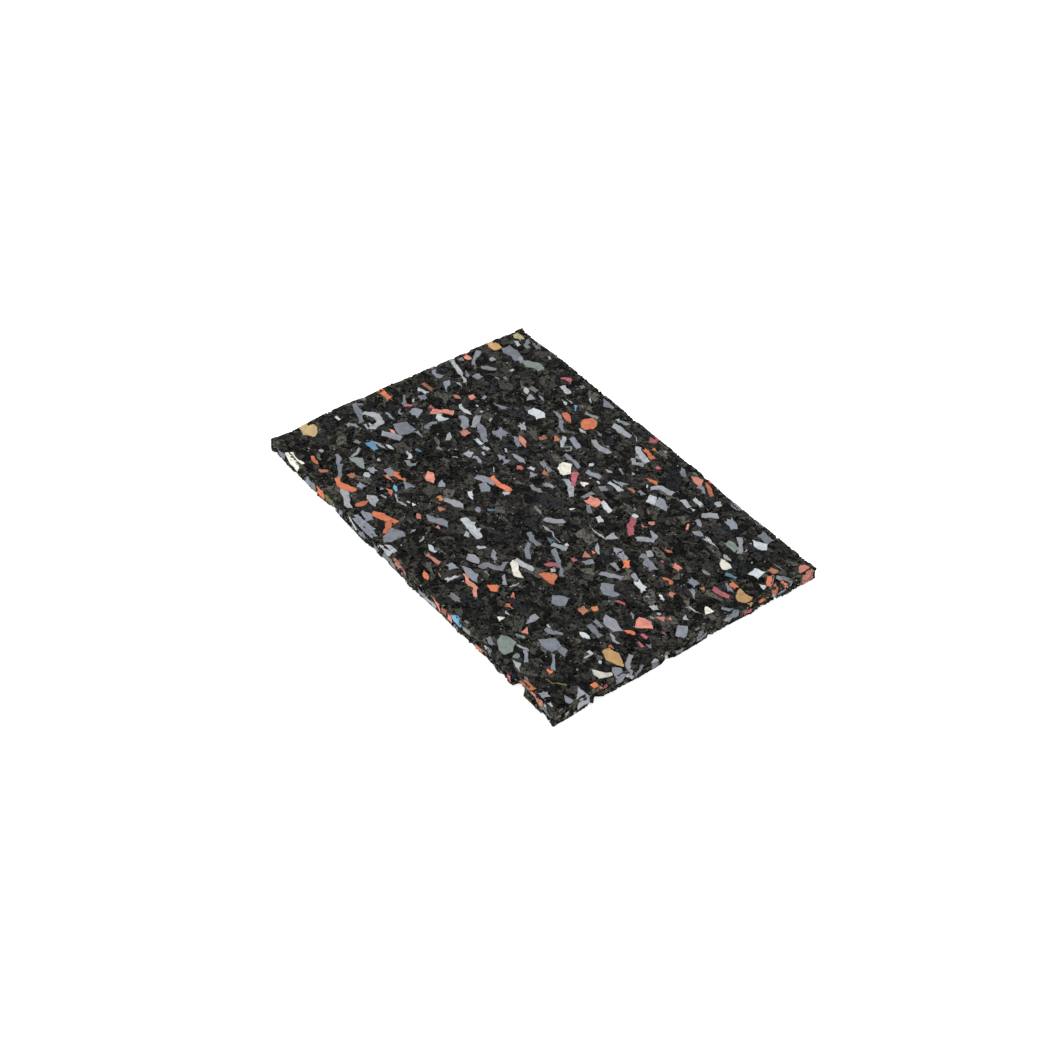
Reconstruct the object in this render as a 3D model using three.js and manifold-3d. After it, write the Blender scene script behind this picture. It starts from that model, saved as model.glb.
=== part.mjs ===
import * as THREE from "three";
import { mergeVertices } from "three/addons/utils/BufferGeometryUtils.js";
import Module from "manifold-3d";

// A small rubber mat, cut from pressed sheet of bonded rubber crumb.
// Millimetres, +Z up. The origin is under the middle of the mat, and X runs along its length.

const length = 148;
const width = 105;
const thickness = 4.5;

// The knife wanders and the crumb tears, so a side lies up to this far in from the straight.
const cutWander = 1.5;

// Each side as cut, from one corner to the next, going round anticlockwise:
// [share of the side's length, share of cutWander in from the straight].
const frontCut = [
  [0, 0.5], [0.05, 0.7], [0.09, 0.4], [0.13, 0.65], [0.19, 0.3], [0.24, 0.75], [0.31, 0.4],
  [0.37, 0.15], [0.43, 0.5], [0.49, 0.45], [0.53, 0], [0.57, 0.4], [0.66, 0.6], [0.69, 0.2],
  [0.72, 0.85], [0.75, 0.5], [0.78, 0.9], [0.82, 0.3], [0.88, 0.25], [0.93, 0.5], [1, 0.25],
];
const rightCut = [
  [0, 0.1], [0.04, 0], [0.11, 0.2], [0.22, 0.35], [0.33, 0.2], [0.4, 0.3], [0.42, 0.8],
  [0.45, 0.2], [0.55, 0.3], [0.64, 0.55], [0.69, 0.45], [0.75, 0.2], [0.82, 0.45],
  [0.88, 0.1], [0.97, 0], [1, 0.15],
];
const backCut = [
  [0, 0.15], [0.06, 0.25], [0.14, 0.35], [0.2, 0.5], [0.28, 0.55], [0.33, 0.2], [0.38, 0],
  [0.48, 0.15], [0.62, 0.2], [0.74, 0.1], [0.86, 0.15], [0.93, 0.75], [1, 0.45],
];
const leftCut = [
  [0, 0.7], [0.05, 0.75], [0.2, 0.45], [0.33, 0.5], [0.43, 0.3], [0.5, 0.4], [0.55, 0.1],
  [0.62, 0.4], [0.7, 0], [0.78, 0.05], [0.85, 0.45], [0.92, 0.95], [1, 0.5],
];

// Crumb has torn out of two sides near the corner where they meet. A bite starts so far
// along its side from that corner, and goes up from the underside to its height. Its floor
// is flat from one share of its width to the other.
const frontBite = { fromCorner: 14.3, width: 4.8, depth: 2.9, height: 2.8, floor: [0.1, 0.88] };
const rightBite = { fromCorner: 15.5, width: 5, depth: 2, height: 3.6, floor: [0.3, 0.4] };

// How far a cut runs on past what it cuts.
const overrun = 2;

const wasm = await Module();
wasm.setup();

// A side starts at one corner and runs along to the next. inward points into the mat.
function makeSide(cornerX, cornerY, alongX, alongY, cut) {
  return {
    corner: new THREE.Vector2(cornerX * length / 2, cornerY * width / 2),
    along: new THREE.Vector2(alongX, alongY),
    inward: new THREE.Vector2(-alongY, alongX),
    run: alongX === 0 ? width : length,
    cut,
  };
}

const front = makeSide(-1, -1, 1, 0, frontCut);
const right = makeSide(1, -1, 0, 1, rightCut);
const back = makeSide(1, 1, -1, 0, backCut);
const left = makeSide(-1, 1, 0, -1, leftCut);
const sides = [front, right, back, left];

// The point so far along a side, and so far in from its straight line.
function pointOn(side, distance, inset) {
  return side.corner.clone()
    .addScaledVector(side.along, distance)
    .addScaledVector(side.inward, inset);
}

// Two sides share the point at their corner, which is set in from both.
function matOutline() {
  const points = sides.flatMap((side, i) => {
    const sideBefore = sides.at(i - 1);
    const endInset = sideBefore.cut.at(-1)[1] * cutWander;
    const startInset = side.cut[0][1] * cutWander;
    const between = side.cut.slice(1, -1);
    return [
      pointOn(side, endInset, startInset),
      ...between.map(([share, inset]) => pointOn(side, share * side.run, inset * cutWander)),
    ];
  });
  return new THREE.Shape(points);
}

// The outline of a bite, where start is the distance along the side to its near end.
function biteOutline(side, start, bite) {
  const end = start + bite.width;
  const [floorStart, floorEnd] = bite.floor.map((share) => start + share * bite.width);
  return new THREE.Shape([
    pointOn(side, start, -overrun),
    pointOn(side, end, -overrun),
    pointOn(side, end, 0),
    pointOn(side, floorEnd, bite.depth),
    pointOn(side, floorStart, bite.depth),
    pointOn(side, start, 0),
  ]);
}

// An upright solid on an outline, from one height to another.
function upright(outline, bottom, top) {
  const geometry = new THREE.ExtrudeGeometry(outline, { depth: top - bottom, bevelEnabled: false });
  geometry.translate(0, 0, bottom);
  geometry.deleteAttribute("normal");
  geometry.deleteAttribute("uv");
  const merged = mergeVertices(geometry);
  const vertProperties = new Float32Array(merged.attributes.position.array);
  const triVerts = new Uint32Array(merged.index.array);
  return new wasm.Manifold(new wasm.Mesh({ numProp: 3, vertProperties, triVerts }));
}

function toGeometry(solid) {
  const mesh = solid.getMesh();
  const geometry = new THREE.BufferGeometry();
  geometry.setAttribute("position", new THREE.BufferAttribute(mesh.vertProperties, 3));
  geometry.setIndex(new THREE.BufferAttribute(mesh.triVerts, 1));
  geometry.computeVertexNormals();
  return geometry;
}

const frontStart = length - frontBite.fromCorner - frontBite.width;
const frontCutter = upright(biteOutline(front, frontStart, frontBite), -overrun, frontBite.height);
const rightCutter = upright(biteOutline(right, rightBite.fromCorner, rightBite), -overrun, rightBite.height);
const mat = upright(matOutline(), 0, thickness).subtract(frontCutter).subtract(rightCutter);

const crumbRubber = new THREE.MeshStandardMaterial({ color: 0x3a3a39, roughness: 0.75, metalness: 0 });

const rubberMat = new THREE.Mesh(toGeometry(mat), crumbRubber);
rubberMat.name = "rubber_mat";

const model = new THREE.Group();
model.add(rubberMat);

export default model;
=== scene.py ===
import bisect
import math
import random

import bpy
from mathutils import Color, Euler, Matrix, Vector, kdtree, noise
from mathutils.bvhtree import BVHTree
from mathutils.geometry import delaunay_2d_cdt


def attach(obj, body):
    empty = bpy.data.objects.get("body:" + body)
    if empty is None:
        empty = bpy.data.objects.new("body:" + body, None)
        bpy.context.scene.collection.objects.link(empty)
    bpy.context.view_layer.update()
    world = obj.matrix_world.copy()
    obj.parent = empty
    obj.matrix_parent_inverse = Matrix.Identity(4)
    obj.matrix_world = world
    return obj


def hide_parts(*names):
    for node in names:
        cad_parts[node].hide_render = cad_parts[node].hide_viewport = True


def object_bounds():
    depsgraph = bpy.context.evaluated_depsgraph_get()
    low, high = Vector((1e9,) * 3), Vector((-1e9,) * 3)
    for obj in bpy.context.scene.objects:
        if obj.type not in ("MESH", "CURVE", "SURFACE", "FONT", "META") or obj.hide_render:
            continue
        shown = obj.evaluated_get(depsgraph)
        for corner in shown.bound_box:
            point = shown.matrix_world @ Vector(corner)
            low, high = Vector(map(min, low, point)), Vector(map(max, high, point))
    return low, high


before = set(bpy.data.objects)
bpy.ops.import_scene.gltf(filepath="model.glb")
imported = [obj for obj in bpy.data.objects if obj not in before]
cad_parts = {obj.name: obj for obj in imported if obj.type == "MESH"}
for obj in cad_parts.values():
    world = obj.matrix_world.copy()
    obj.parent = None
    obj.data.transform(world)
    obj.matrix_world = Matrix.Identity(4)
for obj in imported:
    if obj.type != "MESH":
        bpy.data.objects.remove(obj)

# A small mat of pressed black rubber crumb with coloured rubber flakes.
# Places below are in millimetres; mm turns them into Blender's metres.

mm = 0.001
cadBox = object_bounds()
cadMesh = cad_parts["rubber_mat"].data
cadPoints = [v.co / mm for v in cadMesh.vertices]
cadFaces = [tuple(p.vertices) for p in cadMesh.polygons]
cadSurface = BVHTree.FromPolygons(cadPoints, cadFaces)
matTop = cadBox[1].z / mm
halfLength = cadBox[1].x / mm
halfWidth = cadBox[1].y / mm


# Camera

cameraView = {"place": (362.36, -318.96, 444.6), "turn": (46.908, -2.888, 51.688), "lens": 70.9, "sensor": 36}


def placeCamera():
    bpy.ops.object.camera_add(location=Vector(cameraView["place"]) * mm)
    camera = bpy.context.object
    camera.rotation_euler = [math.radians(angle) for angle in cameraView["turn"]]
    camera.data.lens = cameraView["lens"]
    camera.data.sensor_width = cameraView["sensor"]
    camera.data.clip_start = 0.01
    bpy.context.scene.camera = camera


placeCamera()
print("camera placed")


# The cut outline, read from the solid. Along a side, t runs anticlockwise round the mat.

sides = [
    {"along": Vector((1, 0)), "inward": Vector((0, 1))},
    {"along": Vector((0, 1)), "inward": Vector((-1, 0))},
    {"along": Vector((-1, 0)), "inward": Vector((0, -1))},
    {"along": Vector((0, -1)), "inward": Vector((1, 0))},
]
front, right = 0, 1
levelWithin = 0.01  # points this near a level lie on it
facingLeast = 0.9   # share of a flat face's normal that points up or down
rayStart = 200      # a ray towards a side starts this far out from the middle
rayMargin = 0.05    # and keeps this far off the side's ends and edges


def inTurn(loop):
    return zip(loop, loop[1:] + loop[:1])


def lifted(point, z):
    return point.to_3d() + Vector((0, 0, z))


def signedArea(outline):
    return sum(a.cross(b) for a, b in inTurn(outline)) / 2


def openEdges(loops):
    # the edges that only one of these loops has
    edges = set()
    for loop in loops:
        for a, b in inTurn(loop):
            if (b, a) in edges:
                edges.discard((b, a))
            else:
                edges.add((a, b))
    return edges


def followRound(ahead, start):
    loop = [start]
    while ahead[loop[-1]] != start:
        loop.append(ahead[loop[-1]])
    return loop


def faceLoop(level, facing):
    # the outline of the solid's flat face at this level, anticlockwise from above
    loops = []
    for face, corners in zip(cadMesh.polygons, cadFaces):
        points = [cadPoints[i] for i in corners]
        if face.normal.z * facing > facingLeast and all(abs(p.z - level) < levelWithin for p in points):
            loops.append([(round(p.x, 3), round(p.y, 3)) for p in points][::facing])
    ahead = dict(openEdges(loops))
    return [Vector(p) for p in followRound(ahead, min(ahead))]


def splitAtCorners(loop):
    corners = []
    for x, y in ((-1, -1), (1, -1), (1, 1), (-1, 1)):
        corner = Vector((x * halfLength, y * halfWidth))
        corners.append(min(range(len(loop)), key=lambda i: (loop[i] - corner).length))
    runs = []
    for number, side in enumerate(sides):
        start = corners[number]
        end = corners[(number + 1) % 4]
        count = (end - start) % len(loop)
        points = [loop[(start + i) % len(loop)] for i in range(count + 1)]
        runs.append({
            "t": [side["along"].dot(p) for p in points],
            "depth": [side["inward"].dot(p) for p in points],
        })
    return runs


topRuns = splitAtCorners(faceLoop(matTop, 1))
underRuns = splitAtCorners(faceLoop(0, -1))


def runDepth(run, t):
    i = min(max(bisect.bisect_right(run["t"], t), 1), len(run["t"]) - 1)
    t0, t1 = run["t"][i - 1], run["t"][i]
    share = (t - t0) / (t1 - t0)
    return run["depth"][i - 1] + share * (run["depth"][i] - run["depth"][i - 1])


def edgeRoom(runs, x, y):
    # how far a point lies in from the nearest cut side
    point = Vector((x, y))
    room = 1e9
    for side, run in zip(sides, runs):
        t = side["along"].dot(point)
        room = min(room, side["inward"].dot(point) - runDepth(run, t))
    return room


def sideDepth(number, t, z):
    # where the cut side lies at this place, bites included, as its inward coordinate
    side = sides[number]
    run = topRuns[number]
    t = min(max(t, run["t"][0] + rayMargin), run["t"][-1] - rayMargin)
    z = min(max(z, rayMargin), matTop - rayMargin)
    start = side["along"] * t - side["inward"] * rayStart
    hit = cadSurface.ray_cast(lifted(start, z), side["inward"].to_3d())
    return side["inward"].dot(hit[0].to_2d())


# The outlines that the crumb sheets end on. The knife leaves them ragged, and crumbs break out.

edgeLook = {
    "step": 0.62,             # between the points of an edge
    "crease": 0.08,           # how far an edge lies in from the solid's
    "fray": 0.2,
    "breakLength": (0.9, 3.2),
    "breakShare": 0.42,
    "breakDepth": (0.1, 0.75),
    "breakSink": 0.45,        # of its depth
    "sound": 2.2,             # kept whole at each end of a side
    "cutFrom": 1.15,          # a flake that comes this near to a side runs on through it
    "cutTo": 0.6,
    "sway": 0.3,              # of a step, along the side
    "roll": 0.06,             # up or down
    "probe": 0.3,             # a flake that reaches this far in keeps the edge whole
    "cornerFray": 0.2,
    "cornerSway": 0.15,
    "cornerSteps": 6,         # from the underside to the top
}
rng = random.Random(41)
noise.seed_set(41)  # the vector noise would go by the clock without this


def sway(most):
    return rng.uniform(-most, most)


def raggedRim(number, runs, z, sinking, flakes):
    # points between two corners, on the crease between a face and a cut side
    side = sides[number]
    run = runs[number]
    first, last = run["t"][0], run["t"][-1]
    count = round((last - first) / edgeLook["step"])
    gap = (last - first) / count
    points = []
    cut = []
    for flake in flakes:
        if any(side["inward"].dot(p) < runDepth(run, side["along"].dot(p)) for p in flake["outline"]):
            cut.append(flake["outline"])
    lasting, broken = 0, 0
    for i in range(1, count):
        if lasting <= 0:
            lasting = rng.uniform(*edgeLook["breakLength"])
            broken = rng.uniform(*edgeLook["breakDepth"]) if rng.random() < edgeLook["breakShare"] else 0
        lasting -= gap
        t = first + (i + sway(edgeLook["sway"])) * gap
        inside = side["along"] * t + side["inward"] * (runDepth(run, t) + edgeLook["probe"])
        if min(t - first, last - t) < edgeLook["sound"] or any(holds(outline, inside) for outline in cut):
            broken = 0
        depth = runDepth(run, t) + edgeLook["crease"] + broken + rng.random() * edgeLook["fray"]
        sink = broken * edgeLook["breakSink"] + sway(edgeLook["roll"])
        place = side["along"] * t + side["inward"] * depth
        points.append((t, lifted(place, z + sinking * sink)))
    return points


def cornerColumn(number, z):
    # a point on the upright corner where a side starts
    before, side = sides[number - 1], sides[number]
    start = side["along"] * topRuns[number]["t"][0] + side["inward"] * topRuns[number]["depth"][0]
    shift = edgeLook["crease"] + rng.uniform(0, edgeLook["cornerFray"])
    return lifted(start + before["inward"] * shift + side["inward"] * shift, z)


topLevel = matTop - edgeLook["crease"]
underLevel = edgeLook["crease"]
cornerSteps = edgeLook["cornerSteps"]
columns = []
for number in range(4):
    levels = [underLevel]
    for i in range(1, cornerSteps):
        levels.append(underLevel + i * (topLevel - underLevel) / cornerSteps + sway(edgeLook["cornerSway"]))
    columns.append([cornerColumn(number, z) for z in levels + [topLevel]])


# Cutting a sheet into crumbs. A sheet is worked flat, as (u, v), and then laid on its face of the mat.

cutLook = {
    "edgeStep": 0.4,          # between the places along an edge that loose points keep off
    "clear": 0.45,            # how far they keep off, as a share of their own gap
    "pointShake": 0.42,       # of the gap, like the next
    "crumbShake": 0.55,
    "warpScale": 1.1,
    "weld": 1e-5,
    "sliver": 0.3,            # a smaller rest of a shape, in square mm, is crumb
    "sliverShare": 0.4,       # and so is one that is less than this share of a small shape
}
looseShake = 0.5              # for what is strewn


def looseGrid(low, high, gap, shake):
    v = low[1] + gap / 2
    while v < high[1]:
        u = low[0] + gap / 2
        while u < high[0]:
            yield Vector((u + sway(shake) * gap, v + sway(shake) * gap))
            u += gap
        v += gap


def joinedParts(triangles):
    # splits a group of triangles where it doesn't hang together
    byEdge = {}
    for i, tri in enumerate(triangles):
        for k in range(3):
            byEdge.setdefault(frozenset((tri[k], tri[k - 1])), []).append(i)
    waiting = set(range(len(triangles)))
    parts = []
    while waiting:
        stack = [waiting.pop()]
        part = []
        while stack:
            i = stack.pop()
            part.append(triangles[i])
            for k in range(3):
                for other in byEdge[frozenset((triangles[i][k], triangles[i][k - 1]))]:
                    if other in waiting:
                        waiting.discard(other)
                        stack.append(other)
        parts.append(part)
    return parts


def simpleOutline(triangles):
    # the one loop round a group of triangles, or None if it has a hole or pinches
    edges = openEdges(triangles)
    ahead = dict(edges)
    if len(ahead) != len(edges):
        return None
    loop = followRound(ahead, next(iter(ahead)))
    return loop if len(loop) == len(edges) else None


def cellOutlines(triangles, points):
    # (outline, area of all that it was part of) for each simple piece of a group
    outlines = []
    stack = [(part, sum(loopArea(tri, points) for tri in part)) for part in joinedParts(triangles)]
    while stack:
        part, whole = stack.pop()
        loop = simpleOutline(part)
        if loop:
            outlines.append((loop, whole))
            continue
        middles = [(points[a] + points[b] + points[c]) / 3 for a, b, c in part]
        spans = [max(m[axis] for m in middles) - min(m[axis] for m in middles) for axis in (0, 1)]
        axis = 0 if spans[0] > spans[1] else 1
        order = sorted(range(len(part)), key=lambda i: middles[i][axis])
        half = len(part) // 2
        for chosen in (order[:half], order[half:]):
            stack += [(piece, whole) for piece in joinedParts([part[i] for i in chosen])]
    return outlines


def loopArea(loop, points):
    return signedArea([points[i] for i in loop])


def seedTree(seeds):
    tree = kdtree.KDTree(max(len(seeds), 1))
    for i, seed in enumerate(seeds or [Vector((1e6, 1e6))]):
        tree.insert(seed.to_3d(), i)
    tree.balance()
    return tree


def holds(outline, point):
    inside = False
    for a, b in inTurn(outline):
        if (a.y > point.y) != (b.y > point.y):
            if point.x < a.x + (point.y - a.y) * (b.x - a.x) / (b.y - a.y):
                inside = not inside
    return inside


def shapeOwners(middles, shapes):
    # the uppermost shape over each triangle's middle, found by boxes this wide
    box = 4
    boxes = {}
    for i, m in enumerate(middles):
        boxes.setdefault((m.x // box, m.y // box), []).append(i)
    owners = [None] * len(middles)
    for number, shape in enumerate(shapes):
        outline = shape["outline"]
        across, along = [sorted(p[axis] // box for p in outline) for axis in (0, 1)]
        for column in range(int(across[0]), int(across[-1]) + 1):
            for row in range(int(along[0]), int(along[-1]) + 1):
                for i in boxes.get((column, row), ()):
                    if holds(outline, middles[i]):
                        owners[i] = number
    return owners


def cutSheet(rim, shapes, look, room):
    # rim is [(u, v)] anticlockwise. A later shape lies over an earlier one.
    coords = [Vector(p) for p in rim]
    loops = [list(range(len(rim)))]
    for shape in shapes:
        loops.append(list(range(len(coords), len(coords) + len(shape["outline"]))))
        coords += [Vector(p) for p in shape["outline"]]
    low = [min(p[axis] for p in rim) for axis in (0, 1)]
    high = [max(p[axis] for p in rim) for axis in (0, 1)]
    near = []
    edges = []
    for loop in loops:
        for a, b in inTurn(loop):
            steps = max(1, round((coords[a] - coords[b]).length / cutLook["edgeStep"]))
            near += [coords[a].lerp(coords[b], i / steps) for i in range(steps)]
            if loop is not loops[0]:
                edges.append((a, b))
    nearTree = seedTree(near)
    clear = look["pointGap"] * cutLook["clear"]
    for point in looseGrid(low, high, look["pointGap"], cutLook["pointShake"]):
        if room(point) > clear and nearTree.find(point.to_3d())[2] > clear:
            coords.append(point)
    points, _, triangles, origins, _, within = delaunay_2d_cdt(
        coords, edges, loops[:1], 1, cutLook["weld"], True)
    points = [Vector(p) for p in points]
    triangles = [tri for tri, faces in zip(triangles, within) if faces]  # a shape may reach past the rim
    middles = [(points[a] + points[b] + points[c]) / 3 for a, b, c in triangles]
    owners = shapeOwners(middles, shapes)

    crumbTree = seedTree(list(looseGrid(low, high, look["crumbGap"], cutLook["crumbShake"])))
    groups = {}
    for tri, middle, owner in zip(triangles, middles, owners):
        if owner is not None:
            key = ("shape", owner)
        else:
            middle = middle.to_3d()
            warp = noise.noise_vector(middle * cutLook["warpScale"]) * look["warp"]
            key = ("crumb", crumbTree.find(middle + Vector((warp.x, warp.y, 0)))[1])
        groups.setdefault(key, []).append(tuple(tri))
    cells = []
    for key, group in groups.items():
        for loop, whole in cellOutlines(group, points):
            kind = key[0]
            area = loopArea(loop, points)
            tone = rng.random()
            shape = shapes[key[1]] if kind == "shape" else None
            if shape and shape["tint"] == "pit":
                kind, shape = "pit", None
            elif shape and whole < min(cutLook["sliver"], shape["area"] * cutLook["sliverShare"]):
                kind, shape = "crumb", None
            cells.append({"loop": loop, "kind": kind, "shape": shape, "area": area, "tone": tone})
    return points, origins, cells


# Flakes. Each shape is drawn on a unit square, roughened, and laid at its place.

flakeForms = {
    "slab": [
        (-0.5, -0.34), (-0.2, -0.46), (0.16, -0.36), (0.48, -0.48), (0.44, 0.1), (0.5, 0.4),
        (-0.02, 0.42), (-0.46, 0.5),
    ],
    "torn": [
        (-0.5, -0.3), (-0.18, -0.46), (0.2, -0.36), (0.52, -0.5), (0.34, -0.1), (0.54, 0.14),
        (0.28, 0.28), (0.36, 0.5), (-0.12, 0.36), (-0.46, 0.46), (-0.36, 0.06),
    ],
    "fan": [
        (-0.52, -0.06), (-0.1, -0.2), (0.3, -0.52), (0.38, -0.2), (0.52, -0.02), (0.36, 0.16),
        (0.42, 0.5), (0.08, 0.3), (-0.3, 0.18), (-0.46, 0.22),
    ],
    "boot": [
        (-0.5, -0.5), (-0.06, -0.44), (0.12, -0.08), (0.5, 0.02), (0.46, 0.44), (0.1, 0.5),
        (-0.22, 0.18), (-0.42, -0.1),
    ],
    "hook": [
        (-0.52, -0.14), (-0.1, -0.5), (0.4, -0.42), (0.52, 0.1), (0.34, 0.5), (0.18, 0.1),
        (-0.06, -0.04), (-0.3, 0.24),
    ],
    "shard": [(-0.52, -0.06), (-0.22, -0.42), (0.2, -0.5), (0.5, -0.1), (0.24, 0.26), (-0.04, 0.5)],
    "chip": [(-0.48, -0.5), (0.1, -0.34), (0.5, -0.34), (0.36, 0.5), (0.04, 0.28), (-0.34, 0.4)],
    "dart": [(-0.54, -0.02), (-0.1, -0.32), (0.5, -0.5), (0.28, -0.02), (0.38, 0.44), (-0.04, 0.26)],
    "wedge": [(-0.5, -0.4), (0.5, -0.5), (0.18, 0.14), (-0.1, 0.5), (-0.28, 0.12)],
}
flakeShake = 0.07  # how far a form's corners move, as a share of its size
tearLength = 0.95  # longest stretch of a flake's edge without a break in it
tearAt = (0.36, 0.64)
stripLook = {"lean": 0.2, "end": (0.7, 1), "wave": (0.9, 1.1)}  # shares of a strip's width
raggedness = {"seen": 0.14, "strip": 0.12, "outline": 0.1, "granule": 0.1, "side": 0.12}


def tornEdge(a, b, ragged):
    # breaks an edge near its middle, again and again, and pushes each break in or out
    if (b - a).length < tearLength:
        return [a]
    across = Vector((a.y - b.y, b.x - a.x))
    middle = a.lerp(b, rng.uniform(*tearAt)) + across * sway(ragged)
    return tornEdge(a, middle, ragged) + tornEdge(middle, b, ragged)


def flakeOutline(form, x, y, long, wide, turn):
    flip = rng.choice((-1, 1))
    ahead = rng.choice((-1, 1))
    angle = math.radians(turn)
    points = []
    for u, v in flakeForms[form]:
        u = (u + sway(flakeShake)) * long * ahead
        v = (v + sway(flakeShake)) * wide * flip
        points.append(Vector((x + u * math.cos(angle) - v * math.sin(angle),
                              y + u * math.sin(angle) + v * math.cos(angle))))
    return points


def stripOutline(path, wide):
    # a band along a path, with cut ends
    path = [Vector(p) for p in path]
    rightEdge, leftEdge = [], []
    for i, point in enumerate(path):
        ahead = path[min(i + 1, len(path) - 1)] - path[max(i - 1, 0)]
        across = Vector((-ahead.y, ahead.x)).normalized() * wide / 2
        end = i in (0, len(path) - 1)
        lean = ahead.normalized() * (sway(stripLook["lean"]) * wide if end else 0)
        share = rng.uniform(*stripLook["end" if end else "wave"])
        rightEdge.append(point - across * share + lean)
        leftEdge.append(point + across * share - lean)
    return rightEdge + leftEdge[::-1]


def makeShape(outline, tint, ragged):
    outline = [Vector(p) for p in outline]
    if signedArea(outline) < 0:
        outline.reverse()
    torn = []
    for a, b in inTurn(outline):
        torn += tornEdge(a, b, ragged)
    tone = rng.random() + (1 if tint == "smoothBlack" else 0)
    return {"outline": torn, "tint": tint, "tone": tone, "area": abs(signedArea(torn))}


# Flakes seen on the upper face: (x, y, length, width, turn), with any turn where it is left out

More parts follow.
